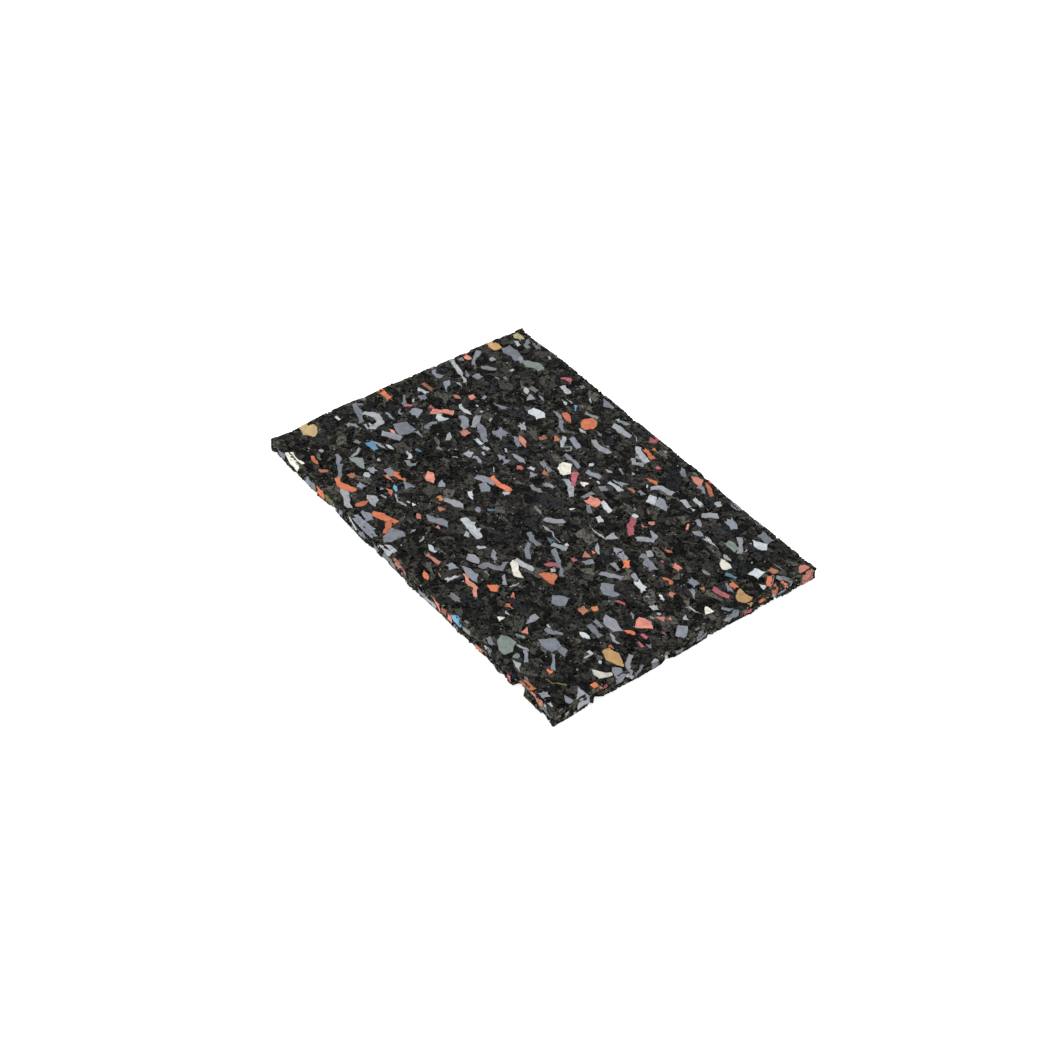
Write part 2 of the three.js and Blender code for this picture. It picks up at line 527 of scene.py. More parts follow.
seenFlakes = {
    "tan": [(-71, 37.8, 5.5, 4, 15)],
    "oliveTan": [(-69.7, 47.8, 4.5, 3.3)],
    "blueGrey": [
        (-64.7, 47.8, 5, 2.8, -20), (-64, 40.5, 8.5, 5, 0), (-59, 40.5, 3, 3), (-60.3, 23, 2.8, 3.2),
        (-71.3, 24.2, 3, 2), (-50.2, 18, 1.5, 2.5), (-43.5, 19.5, 5.5, 2, 20), (-70, 13, 5.8, 3.3, -10),
        (-62.7, 10.7, 5.8, 4.8), (-44, 4.8, 7, 4), (-62, 1.2, 3, 3), (-13.5, 47.8, 4.5, 2, 15),
        (-15, 28.2, 6, 2.5, -15), (-32.7, 11.2, 5, 4.5), (-19.2, 8.5, 6.5, 2.2), (-20.8, 4.5, 4, 4.5),
        (-11.5, 13.2, 6.5, 2.4), (0.7, 23.2, 5.5, 2.5, 20), (-26.2, 13, 6, 2, -25),
        (16.5, 47.5, 5.8, 2.5, -30), (26.3, 46.8, 4, 2.5), (37.8, 50.6, 6.5, 2.8, 0),
        (54.7, 48.3, 5, 3.3), (43.7, 44, 5.8, 3.3, -20), (66.5, 42.8, 4, 0.8, 0), (71.6, 41.6, 4, 2, 0),
        (40.7, 32.5, 4, 2.5), (64.2, 23.8, 4.5, 2, -20), (56.3, 16.7, 3.8, 3),
        (59.8, 13.5, 4.8, 1.8, -30), (-57.3, -4.8, 4.5, 4.8), (-49, -4.7, 5.5, 3, 90),
        (-60.2, -9.2, 2.8, 1.7, -35), (-47.7, -10.7, 4.5, 1.5, 0), (-71, -18.2, 2.5, 2),
        (-52.3, -39.5, 5, 2.7), (-14.8, -9.2, 4.5, 3.5), (-7.8, -17.2, 3, 2), (-29.7, -28.5, 5, 3.3),
        (-25.5, -47.2, 5.5, 5.5), (30.8, -3.8, 3.5, 2.5, 80), (56.2, -7.7, 3.2, 1.2, -30),
        (69, -11.8, 3, 1.8, -20), (52.8, -18.3, 4.3, 1.8), (54.7, -21, 6.3, 2, 0),
        (47.8, -31.2, 5.5, 2.5),
    ],
    "lilacGrey": [
        (-63.5, 20.8, 3.5, 1.8, -20), (-39.2, 33.7, 3.7, 1.2), (-29.2, 32.7, 4.8, 1.6, -10),
        (-10.8, 7.2, 2.8, 3.3), (-23.5, 4.2, 2.5, 3), (-4.8, 3.8, 4.5, 3), (24.2, 31.8, 7, 4, -25),
        (16.2, 30.2, 2.8, 2), (7.7, 21.5, 3, 3), (7.2, 15.5, 5, 2, 90), (12.3, 11.7, 4.5, 1.8, -30),
        (37.3, 35.8, 3, 2.8), (31.8, 6.8, 3, 3.5), (35, 6.5, 4.3, 2.8), (49.5, 50.9, 3, 1.5),
        (70.2, 39.4, 3, 2), (38.7, 11.5, 2.8, 3), (43, 10.7, 6, 3.5), (44.2, 3.5, 3.5, 2),
        (-38.2, -9.8, 3, 2), (-60.7, -13.2, 4.5, 1), (-42, -33.5, 3.5, 2.5), (-37.8, -40.7, 3.2, 2.5),
        (-26.7, -3, 4.3, 2.3, -8), (-23.7, -19.8, 3.7, 2.8), (-38, -29.2, 4, 3), (-33, -36.2, 1.5, 1.5),
        (11.3, -25.5, 4.5, 3), (22, -29.7, 4.8, 1.8, -35), (8, -39.3, 3.5, 3.8),
        (39.8, -48.8, 4.3, 1.6), (60.5, -18.5, 5, 2), (65.5, -49.2, 3, 3.3),
    ],
    "paleGrey": [
        (-67, 45.3, 3.7, 1.8, -20), (-64.7, 32.7, 3, 2.5, -45), (-56.3, 34.5, 1.2, 2),
        (-56, 27.8, 2, 1), (-61.3, 15.3, 4.5, 1.5), (-45, 12.8, 1.2, 1.2), (-40, 12.8, 2.2, 1, -60),
        (-41.3, 30.2, 3.5, 3.5), (-54.3, 49.3, 1.8, 1), (-28.8, 46.3, 2.5, 1, -45),
        (-32.5, 38.5, 2.5, 1.5), (-18, 34, 4, 1.5, 5), (-7.2, 35.9, 1.2, 0.7),
        (-31.2, 19.2, 3.8, 2.5, -20), (-29.5, 2.7, 3, 1.8), (-3.5, 8.3, 4.5, 1.8, 20),
        (-27.8, 0.5, 1.8, 1.2), (-32.2, 40.3, 3, 0.5, 10), (-19.2, 18, 0.8, 0.5), (-16, 19.3, 0.8, 0.5),
        (34.5, 46.8, 2.3, 2.5), (28.3, 38.5, 4.3, 2), (31.5, 38.5, 2, 1.2), (7.7, 33.8, 1.7, 1.2),
        (4.3, 31.7, 3.5, 0.8), (2.2, 28.2, 3, 1.5), (8.7, 27.5, 5, 2.5, 15), (26.2, 9.2, 4.5, 3, 80),
        (38.8, 14.2, 2.7, 2.4), (27.8, 2.2, 5.3, 1.8, -20), (37, 1.7, 4, 1.6), (46.2, 32.8, 7, 1.8, 0),
        (54.2, 32.4, 4, 1.6), (64.8, 8.8, 5, 1.3), (66.2, 4.5, 2.5, 1.8), (57.5, -0.2, 2.3, 2.5),
        (60.3, -0.7, 1.5, 1.5), (-55, -6.2, 1.3, 0.8), (-60.5, -22.7, 3.5, 1.3),
        (-50.3, -24.3, 7, 1, 12), (-59, -41.5, 2, 1.5), (-30.7, -3.3, 3.4, 3.5), (-31.7, -8, 2, 1),
        (-0.8, -27.2, 4, 1.8), (-29.8, -37.8, 3, 1), (-11.5, -39.3, 2, 1, 90),
        (-6.8, -39.5, 3, 1.3, -45), (-20.5, -49.5, 3.5, 1.5), (27.3, -15.2, 2.3, 2),
        (6.5, -26.8, 2.5, 2.5), (25.5, -28.5, 3.5, 1.3, 95), (33.7, -37.7, 3.7, 1.2), (45, -31, 1.8, 1),
        (47.5, -42.6, 4.5, 1.3),
    ],
    "whiteGrey": [
        (-37.7, 43, 5, 2.3, -8), (-49, 8.8, 6, 2.5, -20), (-48.2, 13.5, 1.5, 0.8), (-64.7, 3.2, 4.5, 2),
        (-50.3, 0.5, 4.5, 4.5), (-62.5, -2.3, 1.4, 1.8), (-45, 31.8, 4, 1.8, -25),
        (-15.7, 47.5, 1.5, 1.5), (-13.3, 8.8, 2.5, 1.8), (-33.5, 2.8, 4, 1.8), (-3.5, 25.8, 1.5, 2.5),
        (-19.8, -1.5, 2.5, 0.5, -35), (15.5, 37.5, 1, 1), (14.8, 33.8, 1.5, 1), (30, 42, 5, 1.8, -5),
        (4.3, 22.2, 1.5, 0.8), (14.3, 16.7, 6, 2.5), (18, 11.3, 3, 2), (55.3, 39.5, 1.5, 0.7, -45),
        (64.5, 35.3, 3.7, 4.5), (70, 33.2, 3, 1.8), (55.5, 4.5, 3, 2), (48, 2.5, 5.5, 3),
        (52.8, 1.2, 1.5, 0.8), (-60.2, -20.8, 2.5, 1.5), (-69.3, -28, 2.5, 1.2), (-48, -22.3, 4, 1.3),
        (-41.2, -19.8, 4, 2), (-44.7, -28.7, 1.3, 1.8), (-41, -36.3, 3, 2.5), (-8.7, -5, 2, 2.5),
        (-14.5, -14.8, 5, 2.5, -20), (-23, -32.8, 1.5, 0.8), (-1.7, -39.5, 4, 2.2, 20),
        (12.2, -42.2, 5.3, 2.2, 80), (54.2, -24.7, 4, 2), (60.5, -27.8, 2, 1.5),
        (61.2, -29.5, 2.5, 1, 90), (65.2, -27.8, 1.5, 1.3), (69.5, -50.2, 2.2, 2.3),
        (42.2, -51, 2, 0.5),
    ],
    "dimGrey": [
        (-54, 30, 3.5, 1.5), (-44.3, 34.2, 3.5, 2.5), (-62.3, 50, 5, 2.6), (-35.8, 48.5, 2, 2),
        (-22.5, 41.6, 5, 1.6, 20), (-2.2, 34.6, 1.5, 1.2), (-14.2, 37.7, 4, 1.2, -10),
        (5.7, 49.5, 1.8, 2), (20.7, 23.5, 2, 1), (3.7, -1.8, 6.5, 1.2), (55.5, 22.7, 4, 1.5),
        (72, 4.8, 2, 2), (-63.2, -26, 4.5, 2.8, 30), (-37.8, -21.5, 4, 3), (-56, -29.5, 2.5, 1.7),
        (19.3, -46.5, 4.5, 2.5), (29.5, -49.7, 2.2, 1.3), (60.3, -3.6, 2, 1.3), (58.3, -49.8, 3, 1.3),
        (28.7, 50.9, 2, 1.3),
    ],
    "greenGrey": [
        (-54.3, 42.2, 7, 6), (51.2, 37.3, 5, 3), (-47.7, -34.2, 7, 3.3), (16.5, -32.2, 2.5, 1.3),
        (43.3, -40.3, 3, 2), (48.9, -46.3, 2.6, 2.6), (19.3, 51, 2.5, 1.8),
    ],
    "crimson": [
        (-41.8, 47, 5.3, 2.8, 15), (-56, 0.5, 3, 2), (-1.3, 50, 3.7, 3.6), (-15.7, 5.7, 2.8, 2.5),
        (10.2, 42.5, 2, 1.8), (43.7, 15, 1.5, 1), (-61.3, -5, 2.8, 2.5), (25.3, -13.5, 4.5, 3.5),
        (27.3, -6.8, 2.5, 2), (49.8, -7, 3.7, 1.3, 20), (67.5, -4.8, 2, 1.3), (64.8, -10.3, 3, 1.5),
        (66.7, -13.5, 3, 1.2), (72.6, -32.5, 1.7, 1.5),
    ],
    "salmon": [
        (-71.2, 26.3, 4, 2.2, 0), (-52.8, 14.7, 2.2, 2.5), (-39.7, 1.8, 3.3, 3.3),
        (-25.5, 14.9, 6.5, 2, -20), (22.2, 49.5, 5.5, 3.2), (10.3, 15, 4.8, 4),
        (36.7, 31.8, 3, 0.8, -50), (56.2, 7.8, 2.2, 2.3), (62.2, -1.3, 3.5, 2.5), (63.8, 0.5, 1.5, 1.3),
        (48.3, 17, 3.5, 2.3), (-53, -17.3, 5, 1.5), (-28.7, -20.3, 6.5, 3.4, -15), (-35.8, -31.3, 5, 1),
        (-8.2, -32.3, 2, 1.3), (-16.2, -34.5, 3.5, 2.8), (2, -41.8, 5.7, 1.8, 8), (9, -44.5, 3.5, 0.5),
        (66.7, -51, 2.8, 1.6), (28.8, 23.7, 2.3, 2), (28.5, 20.5, 2.4, 1),
    ],
    "brick": [
        (-55.8, 10.7, 3.2, 1.8), (-65.7, 5.8, 5.5, 2.2), (-20, 24.7, 3.2, 2.8),
        (-23, 21.3, 3.2, 2.6, 90), (-9.2, 11, 5, 2.2), (13.3, 28.5, 3, 2), (24.3, 26.3, 2.5, 1.2),
        (66.7, 40.3, 2.8, 2.5), (-43.3, -40.2, 3, 2.8), (-50.3, -46.3, 4, 1.8, 50),
        (-14.8, -26.3, 3, 2.5, 90), (45.8, -18.5, 3.2, 2.8),
    ],
    "orange": [
        (3.3, 44.5, 6.5, 2.2), (14, 36.7, 4.3, 2.2), (38.3, 5.2, 4.2, 2.5, -40), (28.3, 0.2, 1.5, 1.5),
        (72.6, 39.3, 2, 1.5), (72.2, 35.6, 4, 1.8, -50), (64.5, 25.9, 3.2, 2.3),
        (41.5, 19.5, 3, 1.3, 30), (51.2, 10.7, 4, 2), (-70, -8.2, 6.7, 2.6, 0),
        (-56.3, -45.8, 4.5, 2.2, -25), (-34.2, -28, 5.3, 2.6), (-30.3, -34.6, 4.2, 1.6),
        (-30.8, -45.5, 5, 2.7, 90), (28.7, -31.8, 2.8, 2, -35), (31.7, -35.3, 3, 2),
        (6.8, -48.2, 4.7, 2, -25), (61, -12.8, 3.5, 2.5), (62.3, -21.2, 2, 1.5),
        (71.3, -34.8, 2.5, 2.3), (59.3, -42.2, 2.2, 2),
    ],
    "apricot": [
        (2.7, 47.4, 1.8, 2), (60, 17.2, 1.8, 1.8), (47.3, -14.8, 2.3, 2.8), (-18.7, -23.7, 2.5, 2),
    ],
    "cream": [
        (2.2, 17.8, 2.8, 2.5), (9.3, 7.5, 1, 2), (67.8, 11.8, 3.5, 3), (-21.3, -32.2, 1.5, 1.5),
        (21, -4.5, 1.5, 1.5), (34.2, -40.3, 2.1, 2.1),
    ],
    "teal": [(60.8, 28, 4, 1.5), (-5, -13.7, 3, 2), (16.3, -7.2, 4, 2), (-41.2, -15.8, 2.5, 1.8)],
    "deepBlue": [(-28.7, 39.8, 3.5, 1.5, -45), (-51.3, -26.7, 5, 2.5)],
    "skyBlue": [(-30.7, -32.5, 4, 1.5, -25)],
    "smoothBlack": [
        (-51.3, 27.5, 7, 5), (-52.3, 22.5, 6, 5), (-57.3, 28.8, 4, 5), (-45.7, 39.5, 6, 4),
        (-20.8, 12.2, 4.5, 3.5), (11.7, 31.2, 4, 2.5), (33.3, 32.8, 5, 4), (2, 2.8, 7, 5),
        (21.3, 2.8, 7, 5), (44.5, 38.5, 7, 5), (59.2, 40.8, 4, 4), (60.8, 32.8, 7, 4),
        (6.7, -7.8, 9, 4), (23, -37.5, 6, 3), (20.3, -49.2, 7, 2.5),
    ],
}
seenStrips = {
    "blueGrey": [
        (1.8, (-71.2, 31.8), (-66, 25.5)), (2.5, (-41, 8), (-36, 6.6), (-31.8, 4.5)),
        (1, (68.2, 39), (72, 34)), (1.7, (69.2, 16.5), (73, 20)), (1.6, (-66.5, -3), (-62.5, -6.3)),
        (2.5, (-72.6, -19), (-68, -20.5), (-63, -23)), (2.2, (-50, -40), (-45, -44.5)),
        (3.2, (-28, -50.6), (-22, -50.2), (-16, -51)), (1.8, (20, -9), (25, -11), (31, -14.5)),
        (2, (9.7, -10.5), (13, -11.8), (16.3, -11.5)), (2, (13.5, -13.3), (15.5, -16), (19, -18)),
        (1.8, (54.5, -37), (59.5, -41)),
    ],
    "lilacGrey": [
        (2, (-26.5, 31.8), (-21.5, 28.8)), (1.6, (-12.5, 21.9), (-4.5, 21.5)),
        (2, (1.8, 39), (4, 37.4), (6.4, 39.4)), (1.4, (1.8, 40.2), (4, 41.2), (6.2, 40.2)),
        (2, (31, 21), (34, 20.5), (35, 18.5), (31.5, 14.7)), (2, (12, 2), (10.6, -0.6), (7.7, -2.7)),
        (2.2, (36.5, -4), (42.3, 0.3)), (2.8, (-49, -17), (-55, -20.5)),
        (3, (-20.5, -8.5), (-14.5, -5)),
        (2.2, (16, -24.5), (17.6, -27.3), (13.8, -29.6), (13.5, -32.5)),
        (1.8, (48.5, -42.5), (52.7, -45.5)),
    ],
    "paleGrey": [
        (2, (-72.3, 21), (-66, 19.6), (-60.3, 17.7)), (2.2, (-44, 10.8), (-40.2, 5.5)),
        (2, (-14.7, 44.2), (-6.7, 45.3)), (0.4, (-8, 47), (-5, 46.3), (-3, 44)),
        (2, (-12.5, 34.3), (-9, 33.3), (-4.5, 34.2)), (2, (-3, 14.5), (1, 13.5), (4.8, 10.5)),
        (2.2, (-1.5, 44), (2, 42.2), (6, 41.5)), (2.2, (16.3, 33.8), (18, 37), (22.5, 38.2)),
        (2.5, (35.3, 39), (38.5, 43)), (0.5, (18, 7.2), (21, 6.5), (25.5, 7)),
        (2, (49.7, 41.8), (55, 36.8)),
        (2.8, (-66.8, -19.5), (-63, -16.8), (-59.8, -17.5), (-58.5, -22)),
        (1.2, (-53, -30.5), (-51, -35.3)), (2.8, (-17.5, -23), (-11.5, -20)),
        (0.7, (-28.5, -34), (-25, -35.5), (-22, -34.3)), (2.3, (-40, -46), (-35, -48), (-31.5, -49.6)),
        (0.5, (9.7, -5), (14, -4.4), (19, -5.5)), (2.3, (18, -8), (22.5, -5.5)),
        (1.7, (16.7, -21.3), (23.8, -19.8)), (1.7, (68, -18.3), (70, -21.3), (72.8, -23)),
    ],
    "whiteGrey": [
        (1.5, (-19.5, 27.5), (-15.7, 23.3)), (1, (-28, 8.5), (-26, 8.2), (-24, 7)),
        (2, (6.2, 24.8), (12, 25.5)), (2.8, (-7.3, -23.3), (-2, -23.8), (3, -24.8)),
    ],
    "dimGrey": [
        (1.5, (-59.8, 30.5), (-63.7, 27)),
        (0.8, (-15.4, 24), (-14.2, 26), (-12.8, 24.6), (-13.8, 23.2)),
    ],
    "crimson": [
        (2, (-3.5, 19.5), (1, 14.5)), (2, (61.4, 19.8), (67.2, 21.5)),
        (2.2, (23.7, 20.5), (26, 17), (29.5, 14.8)),
    ],
    "salmon": [
        (2.8, (-49.7, 4.8), (-54.7, -0.8)),
        (1.6, (12.8, -37.8), (16, -39.3), (19.5, -38.8), (22.7, -41.3)),
    ],
    "orange": [
        (2, (-28.8, 35), (-22.8, 34.2)), (2, (24.7, 51), (30.3, 48)), (2, (68, 38), (71, 34.5)),
        (2.2, (-45.5, -44.5), (-42.6, -45.8), (-37, -43.8)),
        (2, (-17.5, -4), (-13, -4.6), (-8.5, -3.5)), (2, (-25.5, -45), (-20, -42.5), (-17.5, -41.3)),
        (2, (-19.5, -42.8), (-15.5, -47.5)),
    ],
    "olive": [(0.7, (61, -45), (63.5, -44.5), (64.5, -43), (66.5, -41.5))],
}
seenOutlines = {
    "blueGrey": [
        [(-27.3, 50.5), (-22, 51.4), (-21, 49.5), (-24, 47.8)],
        [(67, 1), (69, 3.2), (72.6, -0.5), (70, -2.7)],
        [(-55, -10.5), (-50, -10.2), (-49.5, -14), (-50.5, -16.3), (-56.5, -15), (-55.8, -12.5)],
        [(-16.5, -44), (-13.5, -42.2), (-10.7, -42.8), (-11.3, -48), (-12.5, -50), (-15, -48.5)],
        [(9.3, -36.8), (12, -35), (15.5, -34.5), (16.7, -36), (18.3, -37.2), (15, -37.8),
         (12.5, -37.5)],
        [(35.5, -22), (37.5, -19.5), (39.5, -18.8), (41.3, -21.5), (40.5, -23), (38, -24.3)],
        [(40, -6.5), (43, -3.5), (45, -5.5), (47.5, -5), (46.8, -7.5), (44, -9.3), (41.5, -8.3)],
        [(68.5, -26.3), (70.5, -24), (73, -25), (72.8, -28.8), (71.5, -27.8)],
        [(47.3, -37), (50, -32.3), (53.8, -33), (54, -37), (51.5, -37.5)],
        [(53.8, -33), (56, -32.5), (57.7, -35), (54, -35)],
        [(69, -44.5), (72.4, -43.8), (72.6, -45.6), (71.5, -46)],
    ],
    "lilacGrey": [
        [(-15.5, -31.7), (-12, -30.3), (-11, -28.7), (-8.5, -28.2), (-6.5, -29.8), (-9.5, -31.5),
         (-12.5, -33)],
        [(6.3, -31.8), (8, -30.3), (10, -30.2), (12, -31.8), (9.5, -33.3), (8.3, -33.8)],
        [(38.5, -31), (40.8, -31), (41, -33.5), (40.3, -36), (38.7, -33.3)],
    ],
    "paleGrey": [
        [(-42.8, -2), (-40, -3), (-39.3, -4.5), (-40.3, -5.8)],
        [(-33.3, -41.8), (-31.3, -39.5), (-29, -40), (-27.2, -42.7), (-31.5, -42.8)],
        [(51, -14), (54, -13), (59.8, -13.8), (58, -16.8), (53.5, -17), (52, -15.7)],
        [(68.5, -39.2), (72.6, -39), (72.8, -41), (72.6, -43), (72, -42.5), (71, -41.5)],
    ],
    "whiteGrey": [
        [(-36.8, 28.2), (-34.5, 29.2), (-32, 29.5), (-30.3, 28.3), (-31, 27), (-31.3, 25),
         (-32.7, 25.8), (-35.2, 24.9), (-36.6, 26)], [(18.3, 32), (20.5, 33), (23, 29.8), (20, 28.6)],
        [(22.2, 22), (24, 22.4), (24.2, 20.8), (22.6, 20.4)],
        [(52.8, 44.5), (55.5, 46), (57, 47.2), (59, 45), (57, 43), (55.5, 42.8)],
        [(-4.4, -22.4), (-3.4, -21.2), (-2.6, -22.6)], [(-1, -22.6), (-0.2, -21.3), (0.8, -23.2)],
        [(-12.4, -50.9), (-10.5, -48.8), (-7, -48.7), (-6.5, -51.6), (-10, -51.6)],
        [(49.3, -48), (52, -46.8), (53, -48.3), (55.5, -49.8), (52, -49.2)],
    ],
    "greenGrey": [
        [(39.5, -44.8), (42.5, -43), (45, -43), (47, -46), (46.5, -48.7), (44, -49), (41, -47.3)],
    ],
    "orange": [
        [(-22.5, 38.5), (-21.3, 41), (-19.5, 41.2), (-17.3, 39.5), (-16.8, 37.5), (-18, 35),
         (-19.8, 34.8), (-22, 36.5)], [(25.8, -19.5), (29, -15.2), (30.3, -15.5), (32.3, -18.8)],
        [(20.5, -35.3), (21.8, -33.5), (23.3, -32.3), (24.7, -34.5), (23.5, -36)],
        [(57, -51.2), (57.5, -49.9), (59.8, -49.6), (62.4, -49.2), (62.3, -50.5), (60, -51)],
    ],
    "salmon": [
        [(69.5, 49), (70.5, 50.5), (72.6, 51), (72.9, 49), (72.9, 46.5), (72.5, 46.2), (70.3, 47.7)],
        [(-6, -51), (-2.5, -50.4), (-0.8, -51.2), (-4.5, -51.4)],
        [(26.3, -1.5), (30, -1.8), (28, -4.2)],
        [(57.7, -6.5), (61.5, -4.7), (64, -6.3), (62.3, -8.2), (60.3, -10.5)],
        [(41.3, -36.2), (44.2, -38), (42, -39.3)],
    ],
    "tan": [
        [(66.3, 26.8), (71.5, 27.4), (72.6, 24.3), (69.8, 22.5), (68.2, 23.2)],
        [(62, -24.5), (62.2, -21.8), (66.5, -21), (71.2, -23.7), (67.5, -25), (65.5, -26), (63.5, -25)],
    ],
    "cream": [
        [(-9.9, 19), (-7.2, 20.9), (-6.2, 19.5), (-3.8, 17.8), (-4.5, 15.6), (-5, 14.2), (-8.6, 15.7),
         (-9.8, 17.5)],
        [(53.3, 30.7), (54.5, 31.2), (58.5, 30.7), (58.3, 29), (57.3, 27.8), (56, 28.2), (54.5, 29)],
        [(-64.8, -50.8), (-63.8, -49), (-61.2, -49.8), (-57.6, -49.1), (-56.9, -49.2), (-56.8, -51.9),
         (-61, -52), (-64.2, -51.9)],
        [(16.5, -22.3), (18.5, -21.7), (21, -23.5), (24.8, -24.3), (22.7, -26.2), (20, -25.3),
         (17.3, -24)],
        [(65.9, -31.8), (69, -29.5), (70.5, -27.6), (71.3, -28.2), (70, -32.3), (67.5, -32.5)],
    ],
    "sand": [
        [(-72.4, -37.5), (-71.5, -36), (-69.5, -35.8), (-67.5, -37), (-66, -39.2), (-67.7, -40.7),
         (-69, -42), (-70.5, -41.3), (-72.2, -41)],
    ],
    "skyBlue": [[(24.4, -51.4), (25.4, -50.2), (29.2, -51.4), (29.3, -53), (24.6, -53)]],
}

# How often each tint turns up where the photo doesn't show the mat

tintShares = {
    "blueGrey": 30, "lilacGrey": 16, "paleGrey": 20, "whiteGrey": 11, "dimGrey": 8, "greenGrey": 2,
    "crimson": 4, "salmon": 6, "brick": 4, "orange": 8, "apricot": 1, "cream": 3, "tan": 1, "teal": 1,
    "deepBlue": 1, "smoothBlack": 10,
}
seenTurn = 20      # most that a seen flake lies turned by, where no turn is given
flakeStrew = {"shake": 0.42, "long": (2.6, 4.8), "wide": (0.28, 0.75), "turn": 28}
granuleStrew = {"wide": (0.35, 0.75), "turn": 35}
pitStrew = {"swarm": 0.8, "scale": 0.13, "corners": (4, 4, 5), "shake": 0.25, "reach": (0.7, 1.5)}
speckStrew = {"size": (0.28, 0.6), "long": (1, 2)}
speckTints = ("whiteGrey", "paleGrey", "dimGrey", "lilacGrey", "greenGrey")
formNames = ["slab", "slab", "torn", "torn", "fan", "boot", "hook", "shard", "shard", "chip", "dart", "wedge"]


def seenShapes():
    shapes = []
    for tint, flakes in seenFlakes.items():
        for x, y, long, wide, *turn in flakes:
            angle = turn[0] if turn else sway(seenTurn)
            form = rng.choice(formNames)
            shapes.append(makeShape(flakeOutline(form, x, y, long, wide, angle), tint, raggedness["seen"]))
    for tint, strips in seenStrips.items():
        for wide, *path in strips:
            shapes.append(makeShape(stripOutline(path, wide), tint, raggedness["strip"]))
    for tint, outlines in seenOutlines.items():
        for outline in outlines:
            shapes.append(makeShape(outline, tint, raggedness["outline"]))
    dark = [s for s in shapes if s["tint"] == "smoothBlack"]
    return dark + [s for s in shapes if s["tint"] != "smoothBlack"]


def strewFlakes(low, high, gap, sizes=(0.6, 1.5)):
    # flakes strewn evenly, most of them lying along the mat
    tintNames = list(tintShares)
    weights = list(tintShares.values())
    shapes = []
    for seed in looseGrid(low, high, gap, flakeStrew["shake"]):
        tint = rng.choices(tintNames, weights)[0]
        long = rng.uniform(*flakeStrew["long"]) * rng.uniform(*sizes)
        wide = long * rng.uniform(*flakeStrew["wide"])
        form = rng.choice(formNames)
        outline = flakeOutline(form, seed.x, seed.y, long, wide, rng.gauss(0, flakeStrew["turn"]))
        shapes.append(makeShape(outline, tint, raggedness["seen"]))
    return shapes


def strewGranules(low, high, gap, sizes=(2.5, 8)):
    # smooth black pieces among the fine crumb
    shapes = []
    for seed in looseGrid(low, high, gap, looseShake):
        long = rng.uniform(*sizes)
        wide = long * rng.uniform(*granuleStrew["wide"])
        form = rng.choice(formNames)
        outline = flakeOutline(form, seed.x, seed.y, long, wide, rng.gauss(0, granuleStrew["turn"]))
        shapes.append(makeShape(outline, "smoothBlack", raggedness["granule"]))
    return shapes


def strewPits(low, high, gap, share, radius=(0.16, 0.38)):
    # small holes between the crumbs, in swarms
    shapes = []
    for seed in looseGrid(low, high, gap, looseShake):
        if rng.random() > share + pitStrew["swarm"] * noise.noise(seed.to_3d() * pitStrew["scale"]):
            continue
        size = rng.uniform(*radius)
        start = rng.uniform(0, 2 * math.pi)
        count = rng.choice(pitStrew["corners"])
        outline = []
        for i in range(count):
            angle = start + (i + sway(pitStrew["shake"])) * 2 * math.pi / count
            reach = size * rng.uniform(*pitStrew["reach"])
            outline.append(seed + Vector((reach * math.cos(angle), reach * math.sin(angle))))
        shapes.append(makeShape(outline, "pit", 0))
    return shapes


def strewSpecks(low, high, gap):
    shapes = []
    for seed in looseGrid(low, high, gap, looseShake):
        size = rng.uniform(*speckStrew["size"])
        long = size * rng.uniform(*speckStrew["long"])
        outline = flakeOutline("wedge", seed.x, seed.y, long, size, rng.uniform(0, 180))
        shapes.append(makeShape(outline, rng.choice(speckTints), 0))
    return shapes


print("flakes drawn")


# Sheets of crumb

topLook = {"pointGap": 1, "crumbGap": 2, "warp": 0.6, "pits": (1.5, 0.26), "granules": 7.5, "specks": 7.5}
underLook = {"pointGap": 1.1, "crumbGap": 2.1, "warp": 0.6,
             "pits": (1.9, 0.24, (0.2, 0.42)), "granules": 8, "specks": 10, "flakes": 5.8}
sideLook = {"pointGap": 0.55, "crumbGap": 1.05, "warp": 0.4,
            "pits": (0.8, 0.2), "granules": (3.5, (1.5, 4)), "specks": 2.6, "flakes": (3.6, (0.6, 1.1))}
sheetRoom = 0.5                            # loose points keep this far off the sides
valleyDepth = 0.36                         # of the binder between the crumbs
valleyWave = {"scale": 0.7, "high": 0.05}
sideLumps = {"valley": 0.42, "high": 0.6, "scale": 0.42, "least": -0.2, "most": 0.5,
             "rounding": 1.1, "atEdge": 0.35}
biteRoom = {"before": 0.35, "after": 0.35, "above": 0.35}  # a bite is this much wider, for the crumbs in it
zoneNames = ["top", "under", "front", "right", "back", "left", "hidden"]


def newPart(name):
    return {"name": name, "points": [], "index": {}, "cells": [], "rim": set()}


def pointNumber(part, place):
    key = (round(place.x, 4), round(place.y, 4), round(place.z, 4))
    if key not in part["index"]:
        part["index"][key] = len(part["points"])
        part["points"].append(place)
    return part["index"][key]


def rimCrossing(point, rim, places):
    # where a flake's edge runs over the rim, its point lies between the set places on either side
    for i, (a, b) in enumerate(inTurn(rim)):
        a, b = Vector(a), Vector(b)
        ahead = b - a
        share = (point - a).dot(ahead) / ahead.length_squared
        if -0.001 < share < 1.001 and (a.lerp(b, share) - point).length < 0.001:
            return places[i].lerp(places[(i + 1) % len(places)], share)
    return None


